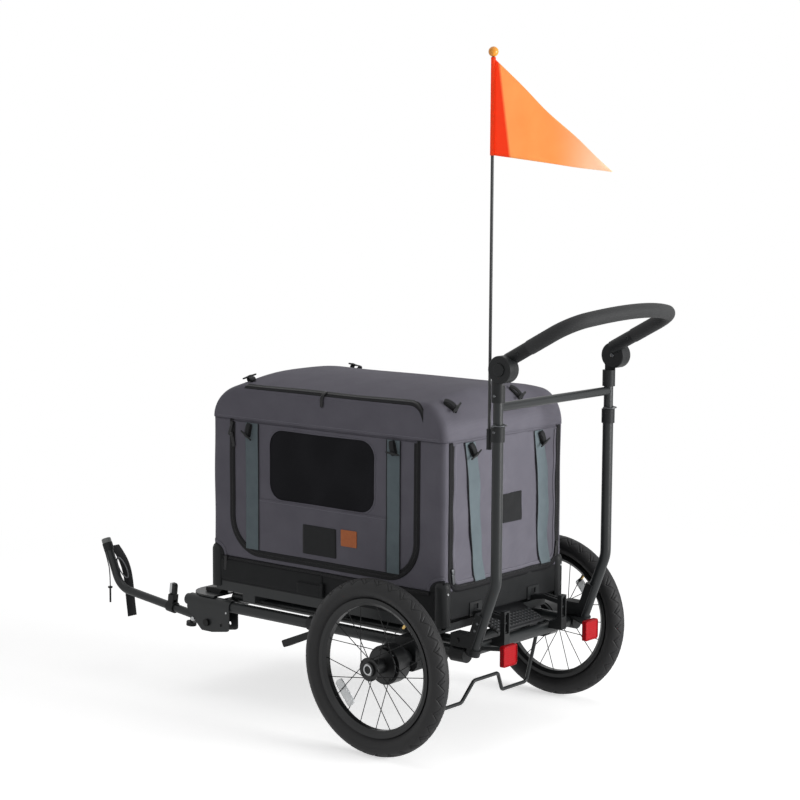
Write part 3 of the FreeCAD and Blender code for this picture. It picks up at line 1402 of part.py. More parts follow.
def flag():
    pocket = rod(s.pocket_radius, s.pocket_top_z - s.pocket_bottom_z, "z", s.flag_x, s.flag_y,
                 s.pocket_bottom_z)
    web = block(s.flag_x - s.pocket_web / 2, s.flag_x + s.pocket_web / 2, s.post_y, s.flag_y,
                s.collar_bottom_z, s.pocket_top_z)
    hollow = rod(s.pole_radius + s.seat_gap, s.pocket_top_z - s.pole_bottom_z + s.overrun, "z", s.flag_x,
                 s.flag_y, s.pole_bottom_z)
    around = rod(s.collar_radius + s.seat_gap, s.pocket_top_z, "z", -s.main_x, s.post_y, s.pocket_bottom_z)
    node("flag_clip", cut(fuse(pocket, web), hollow, around))

    node("flag_pole", rod(s.pole_radius, s.pole_top_z - s.pole_bottom_z, "z", s.flag_x, s.flag_y,
                          s.pole_bottom_z))

    knob = ball(s.ball_radius, s.flag_x, s.flag_y, s.pole_top_z + s.ball_radius / 2)
    seat = rod(s.pole_radius + s.seat_gap, s.ball_radius * 2, "z", s.flag_x, s.flag_y,
               s.pole_top_z - s.ball_radius * 2)
    node("flag_ball", cut(knob, seat))

    # Pennant with a sleeve on the pole and soft waves towards its drooping tip
    top = float(s.pole_top_z - s.ball_radius)
    low = top - float(s.pennant_height)
    tip = low - float(s.pennant_tip_drop)
    sleeve_radius = float(s.pole_radius + s.running_gap + s.pennant_sleeve_wall)
    half = float(s.pennant_thickness) / 2
    sections = []
    for share, wave in zip(pennant_shares, wave_shares):
        y = float(s.flag_y) - sleeve_radius + half - float(s.pennant_reach) * share
        x = float(s.flag_x) + float(s.pennant_wave) * wave
        upper = top + (tip + float(s.pennant_tip_height) - top) * share
        lower = low + (tip - low) * share
        corners = [Vector(x - half, y, lower), Vector(x + half, y, lower), Vector(x + half, y, upper),
                   Vector(x - half, y, upper), Vector(x - half, y, lower)]
        sections.append(Part.makePolygon(corners))
    cloth = Part.makeLoft(sections, True, False)
    centre = Vector(float(s.flag_x), float(s.flag_y), low)
    sleeve = Part.makeCylinder(sleeve_radius, top - low, centre)
    hole = Part.makeCylinder(float(s.pole_radius + s.running_gap), top - low, centre)
    node("flag_pennant", feature(cloth.fuse(sleeve).cut(hole)))


# Cabin

def cabin_base():
    width = s.cabin_half_width
    outside = rounded(block(-width, width, s.cabin_rear_y, s.cabin_front_y, s.tub_bottom_z, s.tub_top_z),
                      s.tub_round, runs_along("z"))
    inside = rounded(block(-width + s.tub_wall, width - s.tub_wall, s.cabin_rear_y + s.tub_wall,
                           s.cabin_front_y - s.tub_wall, s.tub_bottom_z + s.tub_wall,
                           s.tub_top_z + s.overrun), s.tub_round - s.tub_wall, runs_along("z"))
    node("cabin_tub", cut(outside, inside))

    rear = s.cabin_rear_y + s.rail_end
    front = s.cabin_front_y - s.rail_end
    rail = block(-s.rail_outer_x, -s.rail_outer_x + s.rail_width, rear, front, s.rail_bottom_z,
                 s.tub_bottom_z)
    bore = block(-s.rail_outer_x + s.rail_wall, -s.rail_outer_x + s.rail_width - s.rail_wall,
                 rear - s.overrun, front + s.overrun, s.rail_bottom_z + s.rail_wall,
                 s.tub_bottom_z - s.rail_wall)
    rail = cut(rail, bore)
    slats = []
    for share in slat_shares:
        middle = s.rear_cross_y + (s.front_cross_y - s.rear_cross_y) * share
        slats.append(block(-s.rail_outer_x, s.rail_outer_x, middle - s.slat_width / 2,
                           middle + s.slat_width / 2, s.rail_bottom_z - s.slat_height, s.rail_bottom_z))
    node("base_frame", group(rail, mirrored(rail), *slats))

    # Round-headed corner housings on the four corners of the tub
    centre_x = -width + s.housing_inset
    centre_y = s.cabin_rear_y + s.housing_inset
    dome_z = s.housing_top_z - s.housing_radius
    shaft = rod(s.housing_radius, dome_z - s.housing_bottom_z, "z", centre_x, centre_y, s.housing_bottom_z)
    dome = ball(s.housing_radius, centre_x, centre_y, dome_z)
    clear = block(-width - s.cloth_gap, width, s.cabin_rear_y - s.cloth_gap, s.cabin_front_y,
                  s.housing_bottom_z - s.overrun, s.housing_top_z + s.overrun)
    rear_left = cut(fuse(shaft, dome), clear)
    middle_y = (s.cabin_rear_y + s.cabin_front_y) / 2
    front_left = mirrored(rear_left, Vector(0, 1, 0))
    bind(front_left, "Base.y", middle_y)
    left = group(rear_left, front_left)
    node("corner_housings", pair(left))


def side_profile(inset, crown):
    # Closed side view of the roof band: rear corner, ridge and front corner as lines and arcs
    rear = float(s.cabin_rear_y) + inset
    front = float(s.cabin_front_y) - inset
    low = float(s.seam_z)
    top = float(s.eave_z) + crown - inset
    rise = top - low
    bow = math.sqrt(0.5)
    rear_run = float(s.rear_corner) - inset
    front_run = float(s.front_corner) - inset
    rear_top = Vector(0, rear + rear_run, top)
    front_top = Vector(0, front - front_run, top)
    rear_middle = Vector(0, rear + rear_run * (1 - bow), low + rise * bow)
    front_middle = Vector(0, front - front_run * (1 - bow), low + rise * bow)
    return [
        Part.Arc(Vector(0, rear, low), rear_middle, rear_top),
        Part.LineSegment(rear_top, front_top),
        Part.Arc(front_top, front_middle, Vector(0, front, low)),
    ]


def roof_section(x, crown):
    outer = [curve.toShape() for curve in side_profile(0.0, crown)]
    inner = [curve.toShape() for curve in side_profile(float(s.cloth), crown)]
    ends = [Part.LineSegment(outer[-1].Vertexes[-1].Point, inner[-1].Vertexes[-1].Point).toShape(),
            Part.LineSegment(inner[0].Vertexes[0].Point, outer[0].Vertexes[0].Point).toShape()]
    wire = Part.Wire(Part.__sortEdges__(outer + [ends[0]] + inner + [ends[1]]))
    wire.translate(Vector(x, 0, 0))
    return wire


def side_wall(x):
    # Side panel from the tub's edge to the eaves, with the roof's rounded corners
    rear = float(s.cabin_rear_y)
    front = float(s.cabin_front_y)
    low = float(s.tub_top_z)
    seam = float(s.seam_z)
    edges = [curve.toShape() for curve in side_profile(0.0, 0.0)]
    edges.append(Part.LineSegment(Vector(0, front, seam), Vector(0, front, low)).toShape())
    edges.append(Part.LineSegment(Vector(0, front, low), Vector(0, rear, low)).toShape())
    edges.append(Part.LineSegment(Vector(0, rear, low), Vector(0, rear, seam)).toShape())
    face = Part.Face(Part.Wire(Part.__sortEdges__(edges)))
    wall = face.extrude(Vector(float(s.cloth), 0, 0))
    wall.translate(Vector(float(x), 0, 0))
    return wall


def door_outline(gap, top):
    rear = s.door_rear_y - gap
    front = s.door_front_y + gap
    low = s.door_low_z - gap
    return [(rear, top), (rear, low), (front, low), (front, top)]


def window_outline(gap):
    rear = s.window_rear_y + gap
    front = s.window_front_y - gap
    low = s.window_low_z + gap
    top = s.window_top_z - gap
    return [(rear, top), (rear, low), (front, low), (front, top)]


def cabin_walls():
    outer = -s.cabin_half_width
    opening = plate("YZ_Plane", door_outline(s.zip_gap, s.seam_z), s.cloth + s.overrun * 2,
                    outer - s.overrun, (), s.door_round + s.zip_gap, keep=(0, 3))
    node("left_wall", cut(feature(side_wall(outer)), opening))
    node("right_wall", feature(side_wall(s.cabin_half_width - s.cloth)))

    door = plate("YZ_Plane", door_outline(s.zero, s.seam_z - s.cloth_gap), s.cloth, outer, (), s.door_round,
                 keep=(0, 3))
    window = plate("YZ_Plane", window_outline(s.zero), s.cloth + s.overrun * 2, outer - s.overrun, (),
                   s.window_round)
    node("left_door", cut(door, window))
    mesh = plate("YZ_Plane", window_outline(s.cloth_gap), s.mesh, outer + (s.cloth - s.mesh) / 2, (),
                 s.window_round - s.cloth_gap)
    node("left_window", mesh)

    inner_x = s.cabin_half_width - s.cloth - s.cloth_gap
    front = block(-inner_x, inner_x, s.cabin_front_y - s.cloth, s.cabin_front_y, s.tub_top_z,
                  s.seam_z - s.cloth_gap)
    node("front_wall", front)

    half = s.rear_door_half_width
    hole_half = half + s.zip_gap
    hole_low = s.rear_door_low_z - s.zip_gap
    hole_top = s.seam_z + s.overrun
    hole_corners = [(-hole_half, hole_top), (-hole_half, hole_low), (hole_half, hole_low), (hole_half, hole_top)]
    hole = plate("XZ_Plane", hole_corners, s.cloth + s.overrun * 2, -s.cabin_rear_y - s.cloth - s.overrun, (),
                 s.rear_door_round + s.zip_gap, keep=(0, 3))
    rear = block(-inner_x, inner_x, s.cabin_rear_y, s.cabin_rear_y + s.cloth, s.tub_top_z,
                 s.seam_z - s.cloth_gap)
    node("rear_wall", cut(rear, hole))
    door_low = s.rear_door_low_z
    door_top = s.seam_z - s.cloth_gap
    door_corners = [(-half, door_top), (-half, door_low), (half, door_low), (half, door_top)]
    panel = plate("XZ_Plane", door_corners, s.cloth, -s.cabin_rear_y - s.cloth, (), s.rear_door_round, keep=(0, 3))
    node("rear_door", panel)

    sections = []
    for share in roof_shares:
        crown = float(s.roof_crown) * (1 - share * share)
        sections.append(roof_section(float(inner_x) * share, crown))
    node("cabin_roof", feature(Part.makeLoft(sections, True, False)))


def cabin_hoops():
    x = s.cabin_half_width - s.cloth - s.hoop_radius - s.hoop_inset
    rear = s.cabin_rear_y + s.cloth + s.hoop_radius + s.hoop_inset
    front = s.cabin_front_y - s.cloth - s.hoop_radius - s.hoop_inset
    foot = s.tub_bottom_z + s.tub_wall
    top = s.eave_z - s.cloth - s.hoop_radius - s.hoop_inset
    points = frame_points((-x, rear, foot), (-x, rear, top), (-x, front, top), (-x, front, foot))
    hoop = bent_tube(points, s.hoop_bend_radius, s.hoop_radius, s.hoop_wall)
    bars = []
    for share in ridge_shares:
        y = rear + (front - rear) * share
        bar = rod(s.hoop_radius, x * 2, "x", -x, y, top)
        seat = rod(s.hoop_radius + s.seat_gap, s.hoop_bend_radius, "y", -x, y - s.hoop_bend_radius / 2, top)
        bars.append(cut(bar, seat, mirrored(seat)))
    node("cabin_hoops", group(hoop, mirrored(hoop), *bars))


main_frame()
wheel_brackets()
axle_sets()
wheels()
rear_sockets()
lower_posts()
post_brackets()
cabin_latches()
step_mat()
stand_and_pedal()
tow_bracket()
tow_arm()
hitch_tether()
handle_frame()
hub_housings()
handle_bar()
flag()
cabin_base()
cabin_walls()
cabin_hoops()

document.recompute()
faults = [item.Label for item in document.Objects if "Invalid" in item.State or "Error" in item.State]
for label, item in nodes.items():
    if item.Shape.isNull() or not item.Shape.isValid() or not item.Shape.Solids:
        faults.append(label)
if faults:
    raise RuntimeError(f"not built: {faults}")

os.makedirs("parts", exist_ok=True)
for label, item in nodes.items():
    item.Shape.exportStep(f"parts/{label}.step")
print(len(nodes), "nodes written")
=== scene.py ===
import bmesh
import bpy
import json
import math
import numpy as np
from mathutils import Matrix, Vector


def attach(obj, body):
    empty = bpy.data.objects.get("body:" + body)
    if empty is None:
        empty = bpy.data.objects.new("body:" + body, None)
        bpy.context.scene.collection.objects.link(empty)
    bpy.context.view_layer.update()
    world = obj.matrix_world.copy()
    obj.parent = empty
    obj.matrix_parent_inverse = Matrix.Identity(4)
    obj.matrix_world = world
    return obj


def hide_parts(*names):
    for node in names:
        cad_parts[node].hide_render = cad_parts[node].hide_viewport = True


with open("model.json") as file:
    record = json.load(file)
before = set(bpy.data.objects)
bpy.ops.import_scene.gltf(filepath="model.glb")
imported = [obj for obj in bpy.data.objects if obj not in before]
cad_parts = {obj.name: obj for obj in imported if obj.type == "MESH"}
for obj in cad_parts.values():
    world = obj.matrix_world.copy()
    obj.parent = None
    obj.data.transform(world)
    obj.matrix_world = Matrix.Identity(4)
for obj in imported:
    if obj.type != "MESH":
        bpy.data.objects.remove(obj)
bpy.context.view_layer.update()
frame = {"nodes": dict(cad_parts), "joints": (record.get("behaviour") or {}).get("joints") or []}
nodes = frame["nodes"]
joints = {joint["name"]: joint for joint in frame["joints"]}

# Lengths below are millimetres: X to the right, Y forward from the wheel axle, Z up from the ground
axleY = joints["left_wheel_spin"]["pos_m"][1] * 1000
axleZ = joints["left_wheel_spin"]["pos_m"][2] * 1000
mergeWithin = 1e-6   # metres
print("frame loaded:", len(nodes), "nodes")


# Meshes from numpy grids

def toRow(points):
    # millimetres, with Y from the axle, to metres in the model's frame
    return (np.asarray(points, float) + (0.0, axleY, 0.0)) / 1000


def gridFaces(rows, cols, loopRows=False, loopCols=False):
    # quads between neighbouring rows and columns, closed into rings where asked
    r, c = np.meshgrid(np.arange(rows - (not loopRows)), np.arange(cols - (not loopCols)), indexing="ij")
    nextR, nextC = (r + 1) % rows, (c + 1) % cols
    quads = [r * cols + c, r * cols + nextC, nextR * cols + nextC, nextR * cols + c]
    return np.stack(quads, -1).reshape(-1, 4)


def makePiece(name, points, faces, finish, body, slotName, solid=0.0, stands=(), closed=False):
    # a mesh at the origin that rides on a body: a closed one is merged and turned outwards, and a
    # sheet gets thickness
    mesh = bpy.data.meshes.new(name)
    mesh.from_pydata(toRow(points).tolist(), [], np.asarray(faces).tolist())
    if closed:
        work = bmesh.new()
        work.from_mesh(mesh)
        bmesh.ops.remove_doubles(work, verts=work.verts, dist=mergeWithin)
        bmesh.ops.recalc_face_normals(work, faces=work.faces)
        work.to_mesh(mesh)
        work.free()
    mesh.polygons.foreach_set("use_smooth", np.full(len(mesh.polygons), True))
    mesh.materials.append(finish)
    piece = bpy.data.objects.new(name, mesh)
    bpy.context.scene.collection.objects.link(piece)
    if solid:
        thick = piece.modifiers.new("thickness", "SOLIDIFY")
        thick.thickness = solid / 1000
        thick.offset = 0
    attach(piece, body)
    if stands:
        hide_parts(*stands)
    return piece


def gridPiece(name, grid, finish, body, slotName, loopRows=False, loopCols=False, **more):
    # one grid of points as a piece
    rows, cols = grid.shape[:2]
    faces = gridFaces(rows, cols, loopRows, loopCols)
    return makePiece(name, grid.reshape(-1, 3), faces, finish, body, slotName, **more)


def joinGrids(grids):
    # several grids of closed rings as one set of points and faces
    points, faces, start = [], [], 0
    for grid in grids:
        rows, cols = grid.shape[:2]
        points.append(grid.reshape(-1, 3))
        faces.append(gridFaces(rows, cols, loopCols=True) + start)
        start += rows * cols
    return np.concatenate(points), np.concatenate(faces)


def spread(*values):
    # numbers and arrays brought to one shape
    return np.broadcast_arrays(*(np.asarray(value, float) for value in values))


def unit(vectors):
    # each vector over its own length
    vectors = np.asarray(vectors, float)
    return vectors / np.linalg.norm(vectors, axis=-1, keepdims=True)


def circle(radius, sides):
    # even points round a circle
    angle = np.linspace(0, 2 * math.pi, sides, endpoint=False)
    return np.stack([radius * np.cos(angle), radius * np.sin(angle)], -1)


def carry(path, profile, up):
    # a profile of (across, rise) points carried along a path, upright to the up direction
    path = np.asarray(path, float)
    way = unit(np.gradient(path, axis=0))
    side = unit(np.cross(way, up))
    rise = np.cross(side, way)
    across, high = profile[None, :, 0, None], profile[None, :, 1, None]
    return path[:, None] + across * side[:, None] + high * rise[:, None]


def loopTube(path, radius, up, sides=10):
    # a round wire carried round a closed path
    way = unit(np.roll(path, -1, 0) - np.roll(path, 1, 0))
    side = unit(np.cross(way, up))
    rise = np.cross(side, way)
    ring = circle(radius, sides)
    return path[:, None] + ring[None, :, 0, None] * side[:, None] + ring[None, :, 1, None] * rise[:, None]


def capped(grid):
    # a tube's first and last rings drawn in to their middles
    first = np.broadcast_to(grid[0].mean(0), grid[0].shape)
    last = np.broadcast_to(grid[-1].mean(0), grid[-1].shape)
    return np.concatenate([first[None], grid, last[None]])


def lathe(profile, base, axis, sides):
    # (height, radius) points turned round an axis that starts at base
    axis = unit(axis)
    helper = np.array([0.0, 0.0, 1.0]) if abs(axis[2]) < 0.9 else np.array([1.0, 0.0, 0.0])
    across = unit(np.cross(axis, helper))
    other = np.cross(axis, across)
    ring = circle(1.0, sides)
    profile = np.asarray(profile, float)
    around = ring[:, 0, None] * across + ring[:, 1, None] * other
    return np.asarray(base, float) + profile[:, None, 0, None] * axis + profile[:, None, 1, None] * around


def turned(name, profile, base, axis, sides, look, body, loopRows=False):
    # a turned piece with its (finish, slot); the slot is not used
    finish, slotName = look
    gridPiece(name, lathe(profile, base, axis, sides), finish, body, slotName, loopRows=loopRows,
              loopCols=True, closed=True)


# Finishes

def linear(code):
    # sRGB hex to linear light
    channels = np.array([int(code[at:at + 2], 16) for at in (1, 3, 5)]) / 255
    value = np.where(channels <= 0.04045, channels / 12.92, ((channels + 0.055) / 1.055) ** 2.4)
    return (*value.tolist(), 1.0)


def addNode(tree, kind, settings=None, links=None):
    # one node with its settings, by attribute or by socket, and its links by socket
    node = tree.nodes.new(kind)
    for name, value in (settings or {}).items():
        if isinstance(name, str) and hasattr(node, name):
            setattr(node, name, value)
        else:
            node.inputs[name].default_value = value
    for name, source in (links or {}).items():
        tree.links.new(source, node.inputs[name])
    return node


def startMaterial(name, settings):
    # a Principled material, and the Object coordinates that its patterns read
    material = bpy.data.materials.new(name)
    material.use_nodes = True
    tree = material.node_tree
    shader = tree.nodes["Principled BSDF"]
    for socket, value in settings.items():
        shader.inputs[socket].default_value = value
    where = addNode(tree, "ShaderNodeTexCoord").outputs["Object"]
    return material, tree, shader, where


def perMetre(millimetres):
    # texture scale of a pattern with this real size
    return 1000 / millimetres


def bandScale(millimetres):
    # a band texture repeats every 2 pi / 20 units at scale 1
    return 2 * math.pi / 20 * perMetre(millimetres)


def grainFinish(name, light, dark, grain, patch, roughness, bump, **sockets):
    # mottled colour at patch size, roughness and fine relief at grain size
    material, tree, shader, where = startMaterial(name, sockets)
    mottle = addNode(tree, "ShaderNodeTexNoise", {"Scale": perMetre(patch), "Detail": 3.0}, {"Vector": where})
    colour = addNode(tree, "ShaderNodeMix", {"data_type": "RGBA", 6: linear(dark), 7: linear(light)},
                     {0: mottle.outputs["Fac"]})
    fine = addNode(tree, "ShaderNodeTexNoise", {"Scale": perMetre(grain), "Detail": 2.0}, {"Vector": where})
    rough = addNode(tree, "ShaderNodeMapRange", {"To Min": roughness[0], "To Max": roughness[1]},
                    {"Value": fine.outputs["Fac"]})
    relief = addNode(tree, "ShaderNodeBump", {"Strength": 0.5, "Distance": bump / 1000},
                     {"Height": fine.outputs["Fac"]})
    tree.links.new(colour.outputs[2], shader.inputs["Base Color"])
    tree.links.new(rough.outputs["Result"], shader.inputs["Roughness"])
    tree.links.new(relief.outputs["Normal"], shader.inputs["Normal"])
    return material


def wovenFinish(name, light, dark, thread, patch, roughness, bump, directions="XYZ", **sockets):
    # threads along each axis, drawn coarser than the real ones so that they show
    material, tree, shader, where = startMaterial(name, {"Roughness": roughness, **sockets})
    mottle = addNode(tree, "ShaderNodeTexNoise", {"Scale": perMetre(patch), "Detail": 4.0}, {"Vector": where})
    height = None
    for direction in directions:
        bands = addNode(tree, "ShaderNodeTexWave", {"bands_direction": direction, "Scale": bandScale(thread)},
                        {"Vector": where})
        links = {0: bands.outputs["Fac"]} if height is None else {0: height, 1: bands.outputs["Fac"]}
        height = addNode(tree, "ShaderNodeMath", {"operation": "ADD"}, links).outputs[0]
    share = addNode(tree, "ShaderNodeMath", {"operation": "DIVIDE", 1: float(len(directions) + 1)},
                    {0: height})
    tone = addNode(tree, "ShaderNodeMath", {"operation": "MULTIPLY_ADD", 1: 0.35},
                   {0: share.outputs[0], 2: mottle.outputs["Fac"]})
    colour = addNode(tree, "ShaderNodeMix", {"data_type": "RGBA", 6: linear(dark), 7: linear(light)},
                     {0: tone.outputs[0]})
    relief = addNode(tree, "ShaderNodeBump", {"Strength": 0.35, "Distance": bump / 1000}, {"Height": height})
    tree.links.new(colour.outputs[2], shader.inputs["Base Color"])
    tree.links.new(relief.outputs["Normal"], shader.inputs["Normal"])
    return material


def cellFinish(name, light, dark, cell, roughness, bump, edge, **sockets):
    # rounded cells, as in a mesh fabric or a prismatic lens
    material, tree, shader, where = startMaterial(name, {"Roughness": roughness, **sockets})
    cells = addNode(tree, "ShaderNodeTexVoronoi", {"Scale": perMetre(cell), "Randomness": 0.12},
                    {"Vector": where})
    hole = addNode(tree, "ShaderNodeMapRange", {"From Min": edge[0], "From Max": edge[1]},
                   {"Value": cells.outputs["Distance"]})
    colour = addNode(tree, "ShaderNodeMix", {"data_type": "RGBA", 6: linear(dark), 7: linear(light)},
                     {0: hole.outputs["Result"]})
    relief = addNode(tree, "ShaderNodeBump", {"Strength": 0.6, "Distance": bump / 1000},
                     {"Height": cells.outputs["Distance"]})
    tree.links.new(colour.outputs[2], shader.inputs["Base Color"])
    tree.links.new(relief.outputs["Normal"], shader.inputs["Normal"])
    return material


def flagFinish(name, orange, red, pale, wedge, paintedSheen):
    # thin film that light comes through, with a faint painted glow in its own colour: red between the pole
    # and a slanting edge, and paled towards the tip between two distances by a painted sheen
    # the emission is painted light: a faint glow in the cloth's own colour for the light behind it
    material, tree, shader, where = startMaterial(name, {"Roughness": 0.55, "Specular IOR Level": 0.2,
                                                         "Emission Strength": 0.3})
    axes = addNode(tree, "ShaderNodeSeparateXYZ", links={"Vector": where})
    slant = addNode(tree, "ShaderNodeMath", {"operation": "MULTIPLY_ADD", 1: -wedge["slope"]},
                    {0: axes.outputs["Z"], 2: axes.outputs["Y"]})
    edge = addNode(tree, "ShaderNodeMapRange", {"From Min": (axleY + wedge["far"]) / 1000,
                                                "From Max": (axleY + wedge["near"]) / 1000},
                   {"Value": slant.outputs[0]})
    # painted sheen: the cloth pales towards white on the way to the tip
    sheenShare = addNode(tree, "ShaderNodeMapRange", {"interpolation_type": "SMOOTHSTEP",
                                                 "From Min": (axleY + paintedSheen["start"]) / 1000,
                                                 "From Max": (axleY + paintedSheen["end"]) / 1000,
                                                 "To Max": paintedSheen["share"]},
                    {"Value": axes.outputs["Y"]})
    cloud = addNode(tree, "ShaderNodeTexNoise", {"Scale": perMetre(60), "Detail": 3.0}, {"Vector": where})
    body = addNode(tree, "ShaderNodeMix", {"data_type": "RGBA", 6: linear(orange[0]), 7: linear(orange[1])},
                   {0: cloud.outputs["Fac"]})
    field = addNode(tree, "ShaderNodeMix", {"data_type": "RGBA", 7: linear(pale)},
                    {0: sheenShare.outputs["Result"], 6: body.outputs[2]})
    colour = addNode(tree, "ShaderNodeMix", {"data_type": "RGBA", 7: linear(red)},
                     {0: edge.outputs["Result"], 6: field.outputs[2]})
    weave = addNode(tree, "ShaderNodeTexWave", {"bands_direction": "Z", "Scale": bandScale(1.5)},
                    {"Vector": where})
    relief = addNode(tree, "ShaderNodeBump", {"Strength": 0.2, "Distance": 0.0001},
                     {"Height": weave.outputs["Fac"]})
    glow = addNode(tree, "ShaderNodeBsdfTranslucent", links={"Color": colour.outputs[2]})
    mixed = addNode(tree, "ShaderNodeMixShader", {0: 0.45}, {1: shader.outputs[0], 2: glow.outputs[0]})
    tree.links.new(colour.outputs[2], shader.inputs["Base Color"])
    tree.links.new(colour.outputs[2], shader.inputs["Emission Color"])
    tree.links.new(relief.outputs["Normal"], shader.inputs["Normal"])
    tree.links.new(mixed.outputs[0], tree.nodes["Material Output"].inputs["Surface"])
    return material


def dull(level):
    # how much of the usual shine a surface keeps
    return {"Specular IOR Level": level}


# Powder-coated steel tube: satin black with a faint orange peel
satinTube = grainFinish("powderCoatedSteel", "#26292a", "#1c1e1f", 3.0, 60.0, (0.34, 0.44), 0.05, **dull(0.3))
# Glass-filled nylon mouldings: matt black with a fine spark-eroded grain
mouldedNylon = grainFinish("mouldedNylon", "#1f2122", "#151617", 1.6, 40.0, (0.42, 0.56), 0.12, **dull(0.22))
# Tyre rubber: dull, a little dusty
tyreRubber = grainFinish("tyreRubber", "#242425", "#1a1a1b", 2.2, 35.0, (0.5, 0.66), 0.12, **dull(0.3))
# Black anodised rim and hub shell: darker and glossier than the tubes
blackAlloy = grainFinish("anodisedAlloy", "#1b1c1d", "#111213", 2.0, 50.0, (0.3, 0.42), 0.03, Metallic=0.35)
# Closed-cell foam on the handle: no gloss, small pores
gripFoam = grainFinish("gripFoam", "#232425", "#191a1b", 1.8, 25.0, (0.7, 0.85), 0.25)
# Steel wire with a black coating: almost no shine
spokeWire = grainFinish("blackSpokeWire", "#101112", "#0a0a0b", 1.5, 30.0, (0.4, 0.52), 0.02, **dull(0.2))
# Zinc-plated steel bolts: soft grey shine
zincSteel = grainFinish("zincPlatedSteel", "#b9babb", "#98999a", 1.2, 12.0, (0.28, 0.42), 0.03, Metallic=1.0)
# Burnished steel of small fittings: darker than the zinc
darkSteel = grainFinish("burnishedSteel", "#606264", "#48494b", 1.2, 12.0, (0.34, 0.48), 0.03, Metallic=1.0)
# Turned brass valve stem: warm shine
valveBrass = grainFinish("turnedBrass", "#d2b878", "#b3945a", 1.0, 8.0, (0.25, 0.4), 0.03, Metallic=1.0)
# Moulded polypropylene end cap: plain grey, half matt
capGrey = grainFinish("greyPolypropylene", "#7d7f7e", "#6b6d6c", 1.5, 20.0, (0.45, 0.6), 0.08)
# Moulded plastic ball on the flag: clear orange, half gloss
ballOrange = grainFinish("orangeBall", "#f7a233", "#f19a2a", 2.0, 40.0, (0.3, 0.42), 0.005)
# Pultruded fibreglass flag pole: black with a dull shine
poleBlack = grainFinish("blackFibreglass", "#232526", "#181a1b", 1.5, 40.0, (0.4, 0.55), 0.04)
# Moulded rubber mat: black with uneven gloss
matRubber = grainFinish("blackMatRubber", "#1d1e20", "#131415", 2.5, 30.0, (0.4, 0.6), 0.2, **dull(0.3))
# The same rubber on top of the studs: greyer as painted highlight, and smoother
studRubberPaintedHighlight = grainFinish("studRubberPaintedHighlight", "#3a3c3f", "#2c2e30", 1.5, 12.0, (0.3, 0.45), 0.05)
# Vegetable-tanned leather: warm brown with a fine pebble
tanLeather = grainFinish("tanLeather", "#b9662f", "#9a4f22", 1.4, 9.0, (0.5, 0.65), 0.2)
# Polyurethane-coated polyester: dull blue-grey with a fine square weave
greyCanvas = wovenFinish("greyCoatedCanvas", "#66646d", "#57555e", 1.6, 55.0, 0.8, 0.18, **dull(0.25))
# The same cloth dyed black for the base
blackCanvas = wovenFinish("blackCoatedCanvas", "#1f2021", "#151617", 1.8, 40.0, 0.6, 0.2, **dull(0.12))
# Polypropylene webbing in grey and black with a close rib
greyWebbing = wovenFinish("greyWebbing", "#646f74", "#535e63", 2.2, 30.0, 0.72, 0.3, "Z", **dull(0.25))
blackWebbing = wovenFinish("blackWebbing", "#1b1c1e", "#101112", 2.4, 20.0, 0.66, 0.3, "Z", **dull(0.2))
# Woven polyester zip tape and its nylon coil: black, the coil with more shine; the tape's black is also
# painted shade along the straps' folds
zipTapeAndFoldShade = wovenFinish("zipTapeAndFoldShade", "#1c1c1e", "#121214", 1.6, 20.0, 0.66, 0.15, **dull(0.15))
coilNylon = grainFinish("zipCoilNylon", "#1f1f21", "#141416", 1.0, 10.0, (0.35, 0.5), 0.05, **dull(0.25))
# Spun polyester thread: matt, a shade lighter than the cloth
greyThread = grainFinish("greyThread", "#77757f", "#64626c", 0.8, 6.0, (0.6, 0.75), 0.03)
# Woven satin: smooth and deep black
labelSatin = wovenFinish("blackLabelSatin", "#18191b", "#101112", 1.2, 15.0, 0.5, 0.08, **dull(0.15))
# Warp-knitted polyester mesh: dark, with small round holes
windowMesh = cellFinish("knittedMesh", "#151518", "#29292d", 2.4, 0.8, 0.4, (0.2, 0.34), **dull(0.1))
# Moulded acrylic reflectors, red and clear: small prisms that catch the light
redPrism = cellFinish("redPrism", "#a80210", "#6a0005", 5.0, 0.3, 0.9, (0.1, 0.6), **dull(0.12))
clearPrism = cellFinish("clearPrism", "#f2f4f5", "#cfd3d6", 5.0, 0.12, 0.9, (0.1, 0.6),
                        **{"Coat Weight": 0.6, "Coat Roughness": 0.05, "Transmission Weight": 0.35})

# (finish, slot) of the small hardware
zincLook = (zincSteel, "zinc_steel")
darkLook = (darkSteel, "zinc_steel")
brassLook = (valveBrass, "zinc_steel")
nylonLook = (mouldedNylon, "black_plastic")
print("finishes ready")

# CAD pieces whose shapes stay
finishOf = {
    satinTube: ("main_tubes", "cross_members", "cradle_rails", "axle_beam", "lower_posts", "tow_bracket",
                "base_frame", "cabin_hoops", "handle_frame", "handle_bar", "wire_stand", "tow_arm"),
    mouldedNylon: ("wheel_brackets", "rear_sockets", "post_collars", "post_brackets", "cabin_latches",
                   "tube_clips", "flag_clip", "corner_housings", "arm_collars", "lock_knob", "lock_lever",
                   "hub_housings", "hub_discs", "left_tilt_button", "right_tilt_button", "parking_pedal"),
    zincSteel: ("axle_sets",),
    darkSteel: ("lock_pins",),
    blackAlloy: ("left_rim", "left_hub", "right_rim", "right_hub"),
    spokeWire: ("left_spokes", "right_spokes", "hitch_pin", "tow_bolt"),
    clearPrism: ("left_spoke_reflector", "right_spoke_reflector"),
    redPrism: ("rear_reflectors",),
    gripFoam: ("handle_grip",),
    capGrey: ("hitch_cap",),
    ballOrange: ("flag_ball",),
    poleBlack: ("flag_pole",),
    matRubber: ("step_mat",),
}
for finish, names in finishOf.items():
    for name in names:
        nodes[name].data.materials.clear()
        nodes[name].data.materials.append(finish)
print("frame dressed")


